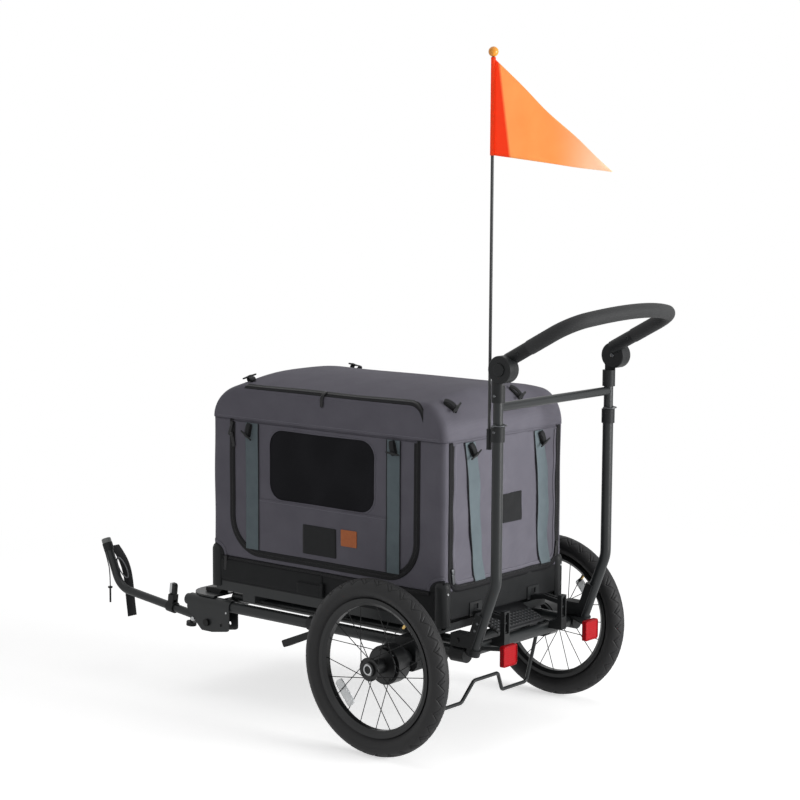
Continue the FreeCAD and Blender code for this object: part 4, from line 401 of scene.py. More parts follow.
# Cabin cloth: each ripple is (size, wave length, seed)
cabin = {
    "half": 230.5, "rear": -98.0, "front": 625.0,
    "tubLow": 300.0, "tubTop": 366.0, "seam": 707.0, "eave": 787.0, "crown": 27.0,
    "rearCorner": 63.0, "frontCorner": 109.0, "soft": 14.0, "calm": 25.0,
    "cloth": 1.6, "skirtProud": 1.6, "waves": 6,
    "rightRipple": (0.9, 190.0, 12), "leftRipple": (0.9, 190.0, 10),
    "rearRipple": (1.7, 120.0, 22), "frontRipple": (1.2, 120.0, 24), "roofRipple": (1.5, 260.0, 5),
}


def ripple(a, b, size, wave, seed):
    # smooth unevenness: a few sine waves in seeded directions, about one wave length long
    draw = np.random.default_rng(seed)
    total = 0.0
    for step in range(cabin["waves"]):
        angle, phase = draw.uniform(0, 2 * math.pi, 2)
        length = wave * draw.uniform(0.6, 1.8)
        total = total + np.sin((a * math.cos(angle) + b * math.sin(angle)) * 2 * math.pi / length + phase)
    return total * size / (cabin["waves"] / 2)


def onSide(sign, slack):
    # panel (y, z, lift) to space: a flat side whose ends turn the cabin's soft corners
    def place(a, b, lift=0.0):
        a, b, lift = spread(a, b, lift)
        soft = cabin["soft"]
        before = np.clip((cabin["rear"] + soft - a) / soft, 0, math.pi / 2)
        after = np.clip((a - cabin["front"] + soft) / soft, 0, math.pi / 2)
        radius = soft + (lift + ripple(a, b, *slack))
        x = cabin["half"] - soft + np.cos(before + after) * radius
        inner = np.clip(a, cabin["rear"] + soft, cabin["front"] - soft)
        y = inner - np.sin(before) * radius + np.sin(after) * radius
        return np.stack([sign * x, y, b], -1)
    return place


def onEnd(y, sign, slack):
    # panel (x, z, lift) to space on the rear or front wall: the ripple dies out near the corners
    def place(a, b, lift=0.0):
        a, b, lift = spread(a, b, lift)
        edge = np.clip((cabin["half"] - cabin["soft"] - np.abs(a)) / cabin["calm"], 0, 1)
        out = lift + ripple(a, b, *slack) * edge
        return np.stack([a, y + sign * out, b], -1)
    return place


leftSide, rightSide = onSide(-1, cabin["leftRipple"]), onSide(1, cabin["rightRipple"])
rearEnd = onEnd(cabin["rear"], -1, cabin["rearRipple"])
frontEnd = onEnd(cabin["front"], 1, cabin["frontRipple"])
sideReach = cabin["soft"] * (math.pi / 2 - 1)   # cloth that goes round a soft corner, past the flat length
endHalf = cabin["half"] - cabin["soft"]


def underPath(low, high, left, right, corner, count=40):
    # U-shaped line from the top left down, round two corners and up to the top right
    rise = np.stack([np.full(count, left), np.linspace(high, low + corner, count)], -1)
    angle = np.linspace(0, math.pi / 2, 24)[1:]
    first = np.stack([left + corner - corner * np.cos(angle), low + corner - corner * np.sin(angle)], -1)
    floor = np.stack([np.linspace(left + corner, right - corner, count)[1:], np.full(count - 1, low)], -1)
    half = np.concatenate([rise, first])
    back = half[::-1] * (-1, 1) + (left + right, 0)
    return np.concatenate([half, floor[:-1], back])


def levelLine(start, end, height, count):
    # straight panel path at one height
    return np.stack([np.linspace(start, end, count), np.full(count, height)], -1)


def outward(path):
    # the direction square to a panel path, away from its inside
    way = unit(np.gradient(path, axis=0))
    return np.stack([way[:, 1], -way[:, 0]], -1)


def uBand(place, inner, outer, corner, steps=9):
    # cloth between a door's U and the wall's straight edges: inner and outer are (low, high, left, right)
    path = underPath(*inner, corner)
    low, left, right = outer[0], outer[2], outer[3]
    middle = (inner[2] + inner[3]) / 2
    pivot = np.stack([np.clip(path[:, 0], inner[2] + corner, inner[3] - corner),
                      np.maximum(path[:, 1], inner[0] + corner)], -1)
    way = unit(path - pivot)
    sideEdge = np.where(path[:, 0] < middle, pivot[:, 0] - left, right - pivot[:, 0])
    across = sideEdge / np.maximum(np.abs(way[:, 0]), 1e-6)
    down = (pivot[:, 1] - low) / np.maximum(-way[:, 1], 1e-6)
    edge = pivot + way * np.minimum(across, down)[:, None]
    share = np.linspace(0, 1, steps)[None, :, None]
    flat = path[:, None] + (edge - path)[:, None] * share
    return place(flat[..., 0], flat[..., 1])


def reach(angle, left, right, down, up, lowCorner, highCorner):
    # distance from a middle point to a rounded rectangle along each direction
    c, s = np.cos(angle), np.sin(angle)
    a = np.where(c > 0, right, left)
    b = np.where(s > 0, up, down)
    r = np.where(s > 0, highCorner, lowCorner)
    far = np.minimum(a / np.maximum(np.abs(c), 1e-9), b / np.maximum(np.abs(s), 1e-9))
    inCorner = (np.abs(c) * far > a - r) & (np.abs(s) * far > b - r)
    along = np.abs(c) * (a - r) + np.abs(s) * (b - r)
    off = (a - r) ** 2 + (b - r) ** 2 - r ** 2
    bent = along + np.sqrt(np.maximum(along ** 2 - off, 0))
    return np.where(inCorner, bent, far)


def evenReach(angle, half, corner):
    # the same for a rectangle about its own middle, with four corners alike
    return reach(angle, half[0], half[0], half[1], half[1], corner, corner)


def rowsPanel(place, low, high, left, right, corners=(0.0, 0.0), lift=0.0, *, rows, cols):
    # a rounded rectangle row by row: each row is as wide as the round corners leave it
    lowCorner, highCorner = corners
    b = low + (high - low) * (1 - np.cos(np.linspace(0, math.pi, rows))) / 2
    nearLow = np.clip(lowCorner - (b - low), 0, None)
    nearHigh = np.clip(highCorner - (high - b), 0, None)
    cut = (lowCorner - np.sqrt(np.maximum(lowCorner ** 2 - nearLow ** 2, 0))
           + highCorner - np.sqrt(np.maximum(highCorner ** 2 - nearHigh ** 2, 0)))
    share = np.linspace(0, 1, cols)
    a = (left + cut)[:, None] + (right - left - 2 * cut)[:, None] * share
    return place(a, b[:, None], lift)


def ribbon(place, path, near, far, lift, steps=3):
    # a flat band beside a panel path, from near to far on its outer side
    across = np.linspace(near, far, steps)
    flat = path[:, None] + outward(path)[:, None] * across[None, :, None]
    return place(flat[..., 0], flat[..., 1], lift)


def pad(name, place, spot, half, corner, lean, levels, finish, body, slotName, sides):
    # a rounded rectangle on a panel, built up in (inset, lift) levels and closed at both ends
    square = [math.atan2(up * half[1], along * half[0]) for up in (-1, 1) for along in (-1, 1)]
    angle = np.sort(np.concatenate([np.linspace(-math.pi, math.pi, sides, endpoint=False), square]))
    rings = []
    for inset, lift in levels:
        far = evenReach(angle, (half[0] - inset, half[1] - inset), max(corner - inset, 0.3))
        a, b = np.cos(angle) * far, np.sin(angle) * far
        rings.append(place(spot[0] + a * math.cos(lean) - b * math.sin(lean),
                           spot[1] + a * math.sin(lean) + b * math.cos(lean), lift))
    gridPiece(name, capped(np.stack(rings)), finish, body, slotName, loopCols=True, closed=True)


def canvasPiece(name, grid, body, node, **more):
    # a panel of the grey cloth that stands for a CAD node
    gridPiece(name, grid, greyCanvas, body, "cloth_grey", solid=cabin["cloth"], stands=(node,), **more)


# Roof and skirt in one sheet

def roofStations():
    # the roof from the side: a quarter ellipse up from each end's seam and a straight run between them
    rear, front, seam = cabin["rear"], cabin["front"], cabin["seam"]
    rise = cabin["eave"] - seam
    turn = np.linspace(0, math.pi / 2, 20)
    back = np.stack([rear + cabin["rearCorner"] * (1 - np.cos(turn)), seam + rise * np.sin(turn)], -1)
    ahead = np.stack([front - cabin["frontCorner"] * (1 - np.cos(turn)), seam + rise * np.sin(turn)], -1)
    flat = np.linspace(back[-1], ahead[-1], 46)[1:-1]
    return np.concatenate([back, flat, ahead[::-1]])


def crowned(x):
    # how much higher the roof stands at x than at its sides
    return 1 + cabin["crown"] / (cabin["eave"] - cabin["seam"]) * (1 - (x / cabin["half"]) ** 2)


def canopy(stations, across, lift):
    # across runs 0-1 up the left skirt, 1-2 round the eave, 2-3 over the top, then down the right side alike
    half, soft, seam = cabin["half"], cabin["soft"], cabin["seam"]
    normal = outward(stations) * -1
    across = np.atleast_2d(across)
    part = [np.clip(across - step, 0, 1) for step in range(5)]
    leftTurn, rightTurn = part[1] * math.pi / 2, part[3] * math.pi / 2
    x = -half + soft * (1 - np.cos(leftTurn)) + 2 * (half - soft) * part[2] + soft * np.sin(rightTurn)
    depth = soft * (1 - np.sin(leftTurn)) + soft * (1 - np.cos(rightTurn))
    upright = np.sin(leftTurn) * np.cos(rightTurn)
    flat = np.cos(leftTurn) * -1 + np.sin(rightTurn)
    lift = lift + upright * ripple(x, stations[:, :1], *cabin["roofRipple"])
    y = stations[:, :1] + normal[:, :1] * (lift * upright - depth)
    z = seam + (stations[:, 1:] - seam) * crowned(x) + normal[:, 1:] * (lift * upright - depth)
    hang = part[0] * (1 - part[4])
    z = seam + (z - seam) * np.where(across <= 1, part[0], np.where(across >= 4, hang, 1.0))
    return np.stack([x + flat * lift, y, np.broadcast_to(z, y.shape)], -1)


def roofSheet():
    # the canopy from hem to hem, with more points where it bends
    across = np.concatenate([np.linspace(0, 1, 8), np.linspace(1, 2, 7)[1:], np.linspace(2, 3, 36)[1:],
                             np.linspace(3, 4, 7)[1:], np.linspace(4, 5, 8)[1:]])
    canvasPiece("roofSheet", canopy(roofStations(), across, cabin["skirtProud"]), "chassis", "cabin_roof")


def onRoof(a, b, lift=0.0):
    # panel (x, run, lift) to space: run is the distance over the roof from its rear seam
    a, b, lift = spread(a, b, lift)
    line = roofStations()
    run = np.concatenate([[0], np.cumsum(np.linalg.norm(np.diff(line, axis=0), axis=1))])
    y, z, normalY, normalZ = (np.interp(b, run, row) for row in (*line.T, *(outward(line) * -1).T))
    out = lift + cabin["skirtProud"] + ripple(a, y, *cabin["roofRipple"])
    height = cabin["seam"] + (z - cabin["seam"]) * crowned(a)
    return np.stack([a, y + normalY * out, height + normalZ * out], -1)


def onEave(a, b, lift=0.0):
    # panel (y, run, lift) on the left eave: run goes up from where the skirt starts to turn in
    a, b, lift = spread(a, b, lift)
    soft = cabin["soft"]
    turn = np.clip(b / soft, 0, math.pi / 2)
    out = soft + cabin["skirtProud"] + lift
    return np.stack([soft - cabin["half"] - np.cos(turn) * out, a,
                     cabin["eave"] - soft + np.minimum(b, 0) + np.sin(turn) * out], -1)


roofSheet()

# Walls, doors and window
wallTop = cabin["seam"] - 0.4
doorTop = cabin["seam"] - 5.5   # leaves the hinge room to turn under the skirt
door = {"low": 384.0, "high": doorTop, "rear": -20.0, "front": 556.0, "corner": 88.0, "gap": 1.0}
window = {"low": 522.0, "high": 692.0, "rear": 105.0, "front": 435.0, "corner": 40.0, "mesh": 0.8,
          "meshLift": -0.6, "binding": (2.5, 1.3), "bindingOut": 0.75, "bindingLift": 0.6}
rearDoor = {"low": 374.0, "high": doorTop, "half": 203.0, "corner": 30.0, "gap": 1.0}
hingeTape = {"below": 7.0, "above": 4.0, "past": 4.0, "lift": -2.2, "cloth": 0.8}


def sideWalls():
    # the left wall round its door, and the plain right wall
    gap = door["gap"]
    inner = (door["low"] - gap, wallTop, door["rear"] - gap, door["front"] + gap)
    outer = (cabin["tubTop"], wallTop, cabin["rear"] - sideReach, cabin["front"] + sideReach)
    canvasPiece("leftWallCloth", uBand(leftSide, inner, outer, door["corner"] + gap), "chassis", "left_wall")
    canvasPiece("rightWallCloth", rowsPanel(rightSide, *outer, rows=50, cols=110), "chassis", "right_wall")


def endWalls():
    # the rear wall round its door, and the plain front wall
    gap = rearDoor["gap"]
    inner = (rearDoor["low"] - gap, wallTop, -rearDoor["half"] - gap, rearDoor["half"] + gap)
    outer = (cabin["tubTop"], wallTop, -endHalf, endHalf)
    rear = uBand(rearEnd, inner, outer, rearDoor["corner"] + gap, 5)
    canvasPiece("rearWallCloth", rear, "chassis", "rear_wall")
    canvasPiece("frontWallCloth", rowsPanel(frontEnd, *outer, rows=50, cols=60), "chassis", "front_wall")


def sideDoor():
    # cloth from the window's edge out to the door's edge, ring by ring
    midY = (window["rear"] + window["front"]) / 2
    midZ = (window["low"] + window["high"]) / 2
    half = ((window["front"] - window["rear"]) / 2, (window["high"] - window["low"]) / 2)
    sides = (midY - door["rear"], door["front"] - midY, midZ - door["low"], door["high"] - midZ)
    corners = [math.atan2(up, along) for up in (sides[3], -sides[2]) for along in (sides[1], -sides[0])]
    angle = np.sort(np.concatenate([np.linspace(-math.pi, math.pi, 320, endpoint=False), corners]))
    inside = evenReach(angle, half, window["corner"])
    outside = reach(angle, *sides, door["corner"], 0.0)
    far = inside[:, None] + (outside - inside)[:, None] * np.linspace(0, 1, 22)
    cloth = leftSide(midY + np.cos(angle)[:, None] * far, midZ + np.sin(angle)[:, None] * far)
    canvasPiece("sideDoorCloth", cloth, "left_door", "left_door", loopRows=True)
    mesh = rowsPanel(leftSide, window["low"], window["high"], window["rear"], window["front"],
                     (window["corner"], window["corner"]), lift=window["meshLift"], rows=36, cols=44)
    gridPiece("sideWindowMesh", mesh, windowMesh, "left_door", "mesh_black", solid=window["mesh"],
              stands=("left_window",))
    # binding tape folded over the window's edge: a flat oval carried round it
    turn = np.linspace(-math.pi, math.pi, 240, endpoint=False)
    profile = circle(1.0, 10) * window["binding"]
    grow = evenReach(turn, half, window["corner"])[:, None] + window["bindingOut"] + profile[None, :, 0]
    tape = leftSide(midY + np.cos(turn)[:, None] * grow, midZ + np.sin(turn)[:, None] * grow,
                    window["bindingLift"] + profile[None, :, 1])
    gridPiece("windowBinding", tape, greyCanvas, "left_door", "cloth_grey", loopRows=True, loopCols=True,
              closed=True)


def backDoor():
    # one panel with round lower corners
    panel = rowsPanel(rearEnd, rearDoor["low"], rearDoor["high"], -rearDoor["half"], rearDoor["half"],
                      (rearDoor["corner"], 0.0), rows=70, cols=80)
    canvasPiece("rearDoorCloth", panel, "rear_door", "rear_door")


def hingeTapes():
    # tape behind each door's seam: it fills the gap that the hinge needs
    low, high, past = doorTop - hingeTape["below"], wallTop + hingeTape["above"], hingeTape["past"]
    for name, place, left, right in (("leftHingeTape", leftSide, door["rear"], door["front"]),
                                     ("rearHingeTape", rearEnd, -rearDoor["half"], rearDoor["half"])):
        tape = rowsPanel(place, low, high, left - past, right + past, lift=hingeTape["lift"], rows=6, cols=90)
        gridPiece(name, tape, greyCanvas, "chassis", "cloth_grey", solid=hingeTape["cloth"])


sideWalls()
endWalls()
sideDoor()
backDoor()
hingeTapes()
print("cabin cloth made")


# Base tub of black cloth over a stiff board: around turns an angle into a length for its creases
tub = {"wall": 4.0, "round": 22.0, "bulge": 0.8, "skin": 0.3, "rimDrop": 0.6, "rimRound": (0.4, 0.6),
       "sides": 360, "around": 290.0, "crease": (1.1, 70.0, 31)}


def tubShell():
    # rings of one rounded rectangle: floor inside, wall up, rim, creased wall down and underside
    midY = (cabin["rear"] + cabin["front"]) / 2
    halfY = (cabin["front"] - cabin["rear"]) / 2
    angle = np.linspace(0, 2 * math.pi, tub["sides"], endpoint=False)
    outwards = np.stack([np.cos(angle), np.sin(angle), np.zeros(angle.shape)], -1)

    def ring(inset, z, share=1.0):
        far = evenReach(angle, (cabin["half"] - inset, halfY - inset), max(tub["round"] - inset, 2.0))
        return np.stack([np.cos(angle) * far * share, midY + np.sin(angle) * far * share,
                         np.full(angle.shape, z)], -1)

    low, high, wall, skin = cabin["tubLow"], cabin["tubTop"] - tub["rimDrop"], tub["wall"], tub["skin"]
    deep = cabin["tubTop"] - low
    rings = [ring(wall, low + wall, share) for share in (0.0, 0.35, 0.7, 0.95, 1.0)]
    rings += [ring(wall, low + wall + (high - low - wall) * share) for share in (0.1, 0.5, 0.9)]
    rings += [ring(wall - tub["rimRound"][0], high), ring(tub["rimRound"][1], high)]
    for share in np.linspace(0.97, 0.0, 17):
        swell = math.sin(share * math.pi)
        crease = ripple(angle * tub["around"], share * deep, *tub["crease"]) * swell
        wallRing = ring(skin - tub["bulge"] * swell, low + (high - low) * share)
        rings.append(wallRing + crease[:, None] * outwards)
    rings += [ring(skin, low, share) for share in (0.95, 0.5, 0.0)]
    gridPiece("tubCloth", np.stack(rings), blackCanvas, "chassis", "cloth_black", loopCols=True, closed=True,
              stands=("cabin_tub",))


tubShell()
print("tub made")


# Zips: two tapes with half of the coil on each. side, rear and base are the widths of both tapes
zipper = {"side": (8.6, 8.6), "rear": (4.0, 12.6), "base": (5.0, 5.0), "lift": 1.7, "thickness": 1.0,
          "gap": 0.2, "coil": (0.3, 1.9), "teeth": (0.5, 0.7), "wire": 0.4, "pitch": 2.6, "off": 0.5,
          "short": 1.0, "baseDrop": 6.5}
stitch = {"width": 1.1, "pitch": 4.5, "heights": (-0.3, 0.7), "thread": 0.3}


def evenly(path, step):
    # the same path with points at even steps, and the distance along it
    length = np.concatenate([[0], np.cumsum(np.linalg.norm(np.diff(path, axis=0), axis=1))])
    at = np.linspace(0, length[-1], max(int(length[-1] / step), 2))
    return np.stack([np.interp(at, length, path[:, axis]) for axis in range(2)], -1), at


def teethRow(place, path, near, far, lift, pitch, heights):
    # a ridge from near to far beside a path, whose height rises and falls once in each pitch
    line, at = evenly(np.asarray(path, float), pitch / 4)
    wave = 0.5 + 0.5 * np.cos(at / pitch * 2 * math.pi)
    across = near + (far - near) * np.array([0.0, 0.25, 0.75, 1.0])
    rise = np.array([0.0, 1.0, 1.0, 0.0])
    flat = line[:, None] + outward(line)[:, None] * across[None, :, None]
    height = lift + rise[None, :] * (heights[0] + heights[1] * wave[:, None])
    return place(flat[..., 0], flat[..., 1], height)


def stitches(name, place, path, off, lift, body):
    # a row of thread bumps that sink into the cloth between them
    half = stitch["width"] / 2
    row = teethRow(place, path, off - half, off + half, lift, stitch["pitch"], stitch["heights"])
    gridPiece(name, row, greyThread, body, "cloth_grey", solid=stitch["thread"])


def zipLine(name, place, path, widths, innerBody, outerBody):
    # a tape and half a coil on each side of a path: the inner half ends at the door's top
    lift, (near, far) = zipper["lift"], zipper["coil"]
    for label, side, width, body in (("Inner", -1, widths[0], innerBody), ("Outer", 1, widths[1], outerBody)):
        line = path if side > 0 else path[path[:, 1] <= doorTop]
        tape = ribbon(place, line, zipper["gap"] * side, width * side, lift)
        gridPiece(name + label + "Tape", tape, zipTapeAndFoldShade, body, "cloth_black", solid=zipper["thickness"])
        coil = teethRow(place, line, near * side, far * side, lift, zipper["pitch"], zipper["teeth"])
        gridPiece(name + label + "Coil", coil, coilNylon, body, "black_plastic", solid=zipper["wire"])


zipOff, zipTop = zipper["off"], wallTop - zipper["short"]
sideZipPath = underPath(door["low"] - zipOff, zipTop, door["rear"] - zipOff, door["front"] + zipOff,
                        door["corner"])
zipLine("sideZip", leftSide, sideZipPath, zipper["side"], "left_door", "chassis")
rearZipPath = underPath(rearDoor["low"] - zipOff, zipTop, -rearDoor["half"] - zipOff,
                        rearDoor["half"] + zipOff, rearDoor["corner"])
zipLine("rearZip", rearEnd, rearZipPath, zipper["rear"], "rear_door", "chassis")
baseSeam = {"left": (leftSide, -58.0, 588.0), "right": (rightSide, -58.0, 588.0),
            "front": (frontEnd, -190.0, 190.0)}
for label, (place, start, end) in baseSeam.items():
    line = levelLine(start, end, cabin["tubTop"] - zipper["baseDrop"], 80)
    zipLine(label + "BaseZip", place, line, zipper["base"], "chassis", "chassis")

# zip on the left eave: tape and coil are (from, to) across the canopy, and turn is (start, length, depth)
eave = {"rear": -38.0, "front": 520.0, "tape": (1.42, 2.012), "tapeLift": 0.7,
        "coil": (1.66, 1.84), "coilLift": 1.5, "coilThick": 0.6, "turn": (4.0, 42.0, 0.8)}


def eaveZip():
    # a band along the roof's soft edge, turned down at its rear end by a square law
    stations = roofStations()
    y = np.linspace(eave["rear"], eave["front"], 120)
    keep = np.stack([y, np.interp(y, stations[:, 0], stations[:, 1])], -1)
    start, length, depth = eave["turn"]
    down = depth * np.clip((start - y) / length, 0, 1)[:, None] ** 2
    band = canopy(keep, np.linspace(*eave["tape"], 8) - down, cabin["skirtProud"] + eave["tapeLift"])
    gridPiece("eaveZipTape", band, zipTapeAndFoldShade, "chassis", "cloth_black", solid=zipper["thickness"])
    coil = canopy(keep, np.linspace(*eave["coil"], 4) - down, cabin["skirtProud"] + eave["coilLift"])
    gridPiece("eaveZipCoil", coil, coilNylon, "chassis", "black_plastic", solid=eave["coilThick"])


eaveZip()

# name: (panel, place of the slider, lean, finish, slot)
sliders = {
    "sideZipUpper": (leftSide, (556.5, 694.0), 0.32, coilNylon, "black_plastic"),
    "sideZipLower": (leftSide, (556.5, 668.0), -0.28, coilNylon, "black_plastic"),
    "rearZipLeft": (rearEnd, (-203.5, 412.0), 0.15, darkSteel, "zinc_steel"),
    "rearZipRight": (rearEnd, (203.5, 418.0), -0.1, coilNylon, "black_plastic"),
    "eaveZip": (onEave, (264.0, 15.0), 0.0, coilNylon, "black_plastic"),
    "baseZipFront": (leftSide, (578.0, 359.5), 0.1, coilNylon, "black_plastic"),
}
slider = {"half": (4.6, 6.6), "corner": 3.0, "levels": ((0, 2.9), (0, 5.1), (1.0, 6.3), (2.4, 6.5)),
          "pullHalf": (4.6, 13.5), "pullCorner": 4.2, "hang": 17.0,
          "pullLevels": ((0, 3.5), (0, 4.9), (0.8, 5.4), (2.0, 5.4))}


def zipSlider(name, place, spot, lean, finish, slotName):
    # the slider's body stands over the coil, and its pull hangs from it
    pad(name + "Slider", place, spot, slider["half"], slider["corner"], lean, slider["levels"], finish,
        "chassis", slotName, sides=24)
    hang = (spot[0] + slider["hang"] * math.sin(lean), spot[1] - slider["hang"] * math.cos(lean))
    pad(name + "Pull", place, hang, slider["pullHalf"], slider["pullCorner"], lean, slider["pullLevels"],
        finish, "chassis", slotName, sides=32)


for name, settings in sliders.items():
    zipSlider(name, *settings)
print("zips made")

# Hems, pocket and the flaps of the base
hem = {"near": -13.0, "far": -4.0, "lift": (0.9, 1.7, 1.8, 1.7, 0.9), "cloth": 0.7,
       "stitchIn": 1.5, "stitchLift": 2.1}
pocket = {"low": 392.5, "high": 519.5, "rear": 69.0, "front": 468.0, "corner": 3.0, "lift": 1.5, "cloth": 1.3,
          "stitchIn": 2.0, "stitchDown": 5.0, "stitchLift": 2.3}
cutout = {"along": 39.0, "up": 28.0, "hem": 9.0, "lift": 1.3, "cloth": 0.6}
skirtSeam = {"rear": -80.0, "front": 606.0, "up": 6.0}


def hemBand(name, place, path, near, far, body):
    # a folded band beside a path, thickest in its middle
    band = ribbon(place, path, near, far, np.array(hem["lift"]), len(hem["lift"]))
    gridPiece(name, band, greyCanvas, body, "cloth_grey", solid=hem["cloth"])


def rearHem():
    # hem and stitches inside the rear zip, up to the door's top
    line = rearZipPath[rearZipPath[:, 1] <= doorTop]
    hemBand("rearDoorHem", rearEnd, line, hem["near"], hem["far"], "rear_door")
    stitches("rearHemStitch", rearEnd, line, hem["near"] + hem["stitchIn"], hem["stitchLift"], "rear_door")


def doorPocket():
    # a flat pocket under the window with a stitched mouth
    grid = rowsPanel(leftSide, pocket["low"], pocket["high"], pocket["rear"], pocket["front"],
                     (pocket["corner"], pocket["corner"]), lift=pocket["lift"], rows=30, cols=60)
    gridPiece("doorPocket", grid, greyCanvas, "left_door", "cloth_grey", solid=pocket["cloth"])
    edge = levelLine(pocket["rear"] + pocket["stitchIn"], pocket["front"] - pocket["stitchIn"],
                     pocket["high"] - pocket["stitchDown"], 60)
    stitches("pocketStitch", leftSide, edge, 0.0, pocket["stitchLift"], "left_door")


def cornerCutouts():
    # the cloth is cut away round each corner housing in a quarter ellipse with a hem
    angle = np.linspace(0, math.pi / 2, 30)
    share = np.linspace(0, 1, 8)[:, None]
    foot = cabin["tubTop"]
    for label, place in (("left", leftSide), ("right", rightSide)):
        for end, corner, way in (("Rear", cabin["rear"], 1), ("Front", cabin["front"], -1)):
            edge = np.stack([corner + way * cutout["along"] * np.cos(angle),
                             foot + cutout["up"] * np.sin(angle)], -1)[::way]
            fill = place(corner + (edge[:, 0] - corner) * share, foot + (edge[:, 1] - foot) * share,
                         cutout["lift"])
            gridPiece(label + end + "Cutout", fill, blackCanvas, "chassis", "cloth_black",
                      solid=cutout["cloth"])
            hemBand(label + end + "CutoutHem", place, edge, 0.0, cutout["hem"], "chassis")


def skirtFace(sign):
    # panel (y, z, lift) on the flat of a skirt
    def place(a, b, lift):
        return np.stack(spread(sign * (cabin["half"] + cabin["skirtProud"] + lift), a, b), -1)
    return place


def skirtStitch():
    # a stitched line above the hem of each skirt
    line = levelLine(skirtSeam["rear"], skirtSeam["front"], cabin["seam"] + skirtSeam["up"], 120)
    for label, sign in (("left", -1), ("right", 1)):
        stitches(label + "SkirtStitch", skirtFace(sign), line, 0.0, cabin["cloth"] / 2, "chassis")


# name: (place of the middle, half lengths, corner, (inset, lift) levels)
baseFlaps = {
    "baseFlap": ((430.0, 331.0), (166.0, 25.0), 3.0, ((0, 0.4), (0, 3.0), (1.2, 4.2), (6.0, 4.4))),
    "basePocket": ((303.0, 320.0), (38.0, 13.5), 3.0, ((0, 0.4), (0, 7.6), (1.5, 9.2), (5.0, 9.5))),
    "basePocketLoop": ((262.0, 322.0), (5.0, 17.0), 4.0, ((0, 0.4), (0, 9.0), (1.5, 10.5), (3.0, 10.6))),
}
rearHem()
doorPocket()
cornerCutouts()
skirtStitch()
for name, (spot, half, corner, levels) in baseFlaps.items():
    pad(name, leftSide, spot, half, corner, 0.0, levels, blackCanvas, "chassis", "cloth_black", sides=160)
print("hems and flaps made")


# Webbing, loops and toggles
webbing = {"thickness": 1.3, "lift": 1.7, "top": doorTop - 0.5, "middle": 540.0, "waves": (26.0, 61.0),
           "curl": 0.25, "fold": 1.1, "foldLift": 0.8, "foldThick": 0.6}

# name: (panel, body, lowest point, slack, (height, left, right) down its length, and the shares across
# that have a line of painted shade)
straps = {
    "sideStrapRear": (leftSide, "left_door", 392.0, 0.4, ((706, 28, 68), (392, 28, 68)), (0.0, 1.0)),
    "sideStrapFront": (leftSide, "left_door", 392.0, 0.4, ((706, 469, 511), (392, 469, 511)), (0.0,)),
    "rearStrapLeft": (rearEnd, "rear_door", 377.0, 1.6,
                      ((702, -162, -126), (658, -153, -113), (590, -144, -104), (515, -141, -101),
                       (453, -134, -93), (377, -120, -80)), (0.0,)),
    "rearStrapRight": (rearEnd, "rear_door", 377.0, 1.6,
                       ((702, 107, 143), (630, 117, 158), (555, 126, 168), (495, 123, 165),
                        (434, 127, 169), (377, 142, 181)), (0.0,)),
}


def doorStrap(name, place, body, low, slack, edges, paintedShadeEdges):
    # a strip between two edges fitted by polynomials, slack enough to stand off the cloth in slow waves
    rows = np.array(edges, float)
    z = np.linspace(low, webbing["top"], 90)
    degree = min(len(rows) - 1, 4)
    fits = [np.polyfit(rows[:, 0] - webbing["middle"], rows[:, side], degree) for side in (1, 2)]
    left, right = (np.polyval(fit, z - webbing["middle"]) for fit in fits)
    share = np.linspace(0, 1, 9)
    short, long = webbing["waves"]
    wave = slack * (1 + np.sin(z / short + rows[0, 1]) * np.sin(z / long))
    lift = webbing["lift"] + wave[:, None] + webbing["curl"] * np.abs(share * 2 - 1) ** 4
    strip = place(left[:, None] + (right - left)[:, None] * share, z[:, None], lift)
    gridPiece(name, strip, greyWebbing, body, "webbing", solid=webbing["thickness"])
    # a thin black strip along each of those edges is painted shade for the fold there
    for number, side in enumerate(paintedShadeEdges):
        middle = left + (right - left) * side
        across = np.linspace(-webbing["fold"], webbing["fold"], 4)
        fold = place(middle[:, None] + across, z[:, None],
                     webbing["lift"] + wave[:, None] + webbing["foldLift"])
        gridPiece(name + "FoldShade" + str(number), fold, zipTapeAndFoldShade, body, "webbing", solid=webbing["foldThick"])


for name, settings in straps.items():
    doorStrap(name, *settings)

toggle = {"length": 34.0, "width": 13.0, "bow": 5.0, "lift": 5.4, "web": 1.2, "barAt": 0.86, "barHalf": 21.0,
          "barRadius": 2.3, "barSwell": 1.3, "barMiddle": 0.3, "barLift": 11.5}

# name: (panel, place of the seam, lean of the loop, twist of the bar, body, lift of the panel's surface)
toggles = {
    "sideToggleRear": (leftSide, (50.0, 700.0), -0.25, 0.35, "left_door", 2.4),
    "sideToggleFront": (leftSide, (494.0, 700.0), 0.2, 0.35, "left_door", 2.4),
    "rearToggleLeft": (rearEnd, (-146.0, 698.0), 0.5, 0.0, "rear_door", 2.4),
    "rearToggleRight": (rearEnd, (127.0, 698.0), 0.45, 0.0, "rear_door", 2.4),
    "roofToggleRearLeft": (onRoof, (-188.0, 88.0), 0.5, -0.2, "chassis", 0.4),
    "roofToggleRearRight": (onRoof, (60.0, 86.0), 0.5, -0.2, "chassis", 0.4),
    "roofToggleFrontLeft": (onRoof, (-196.0, 668.0), 2.6, 0.35, "chassis", 0.4),
    "roofToggleFrontRight": (onRoof, (180.0, 648.0), 2.9, 0.35, "chassis", 0.4),
}


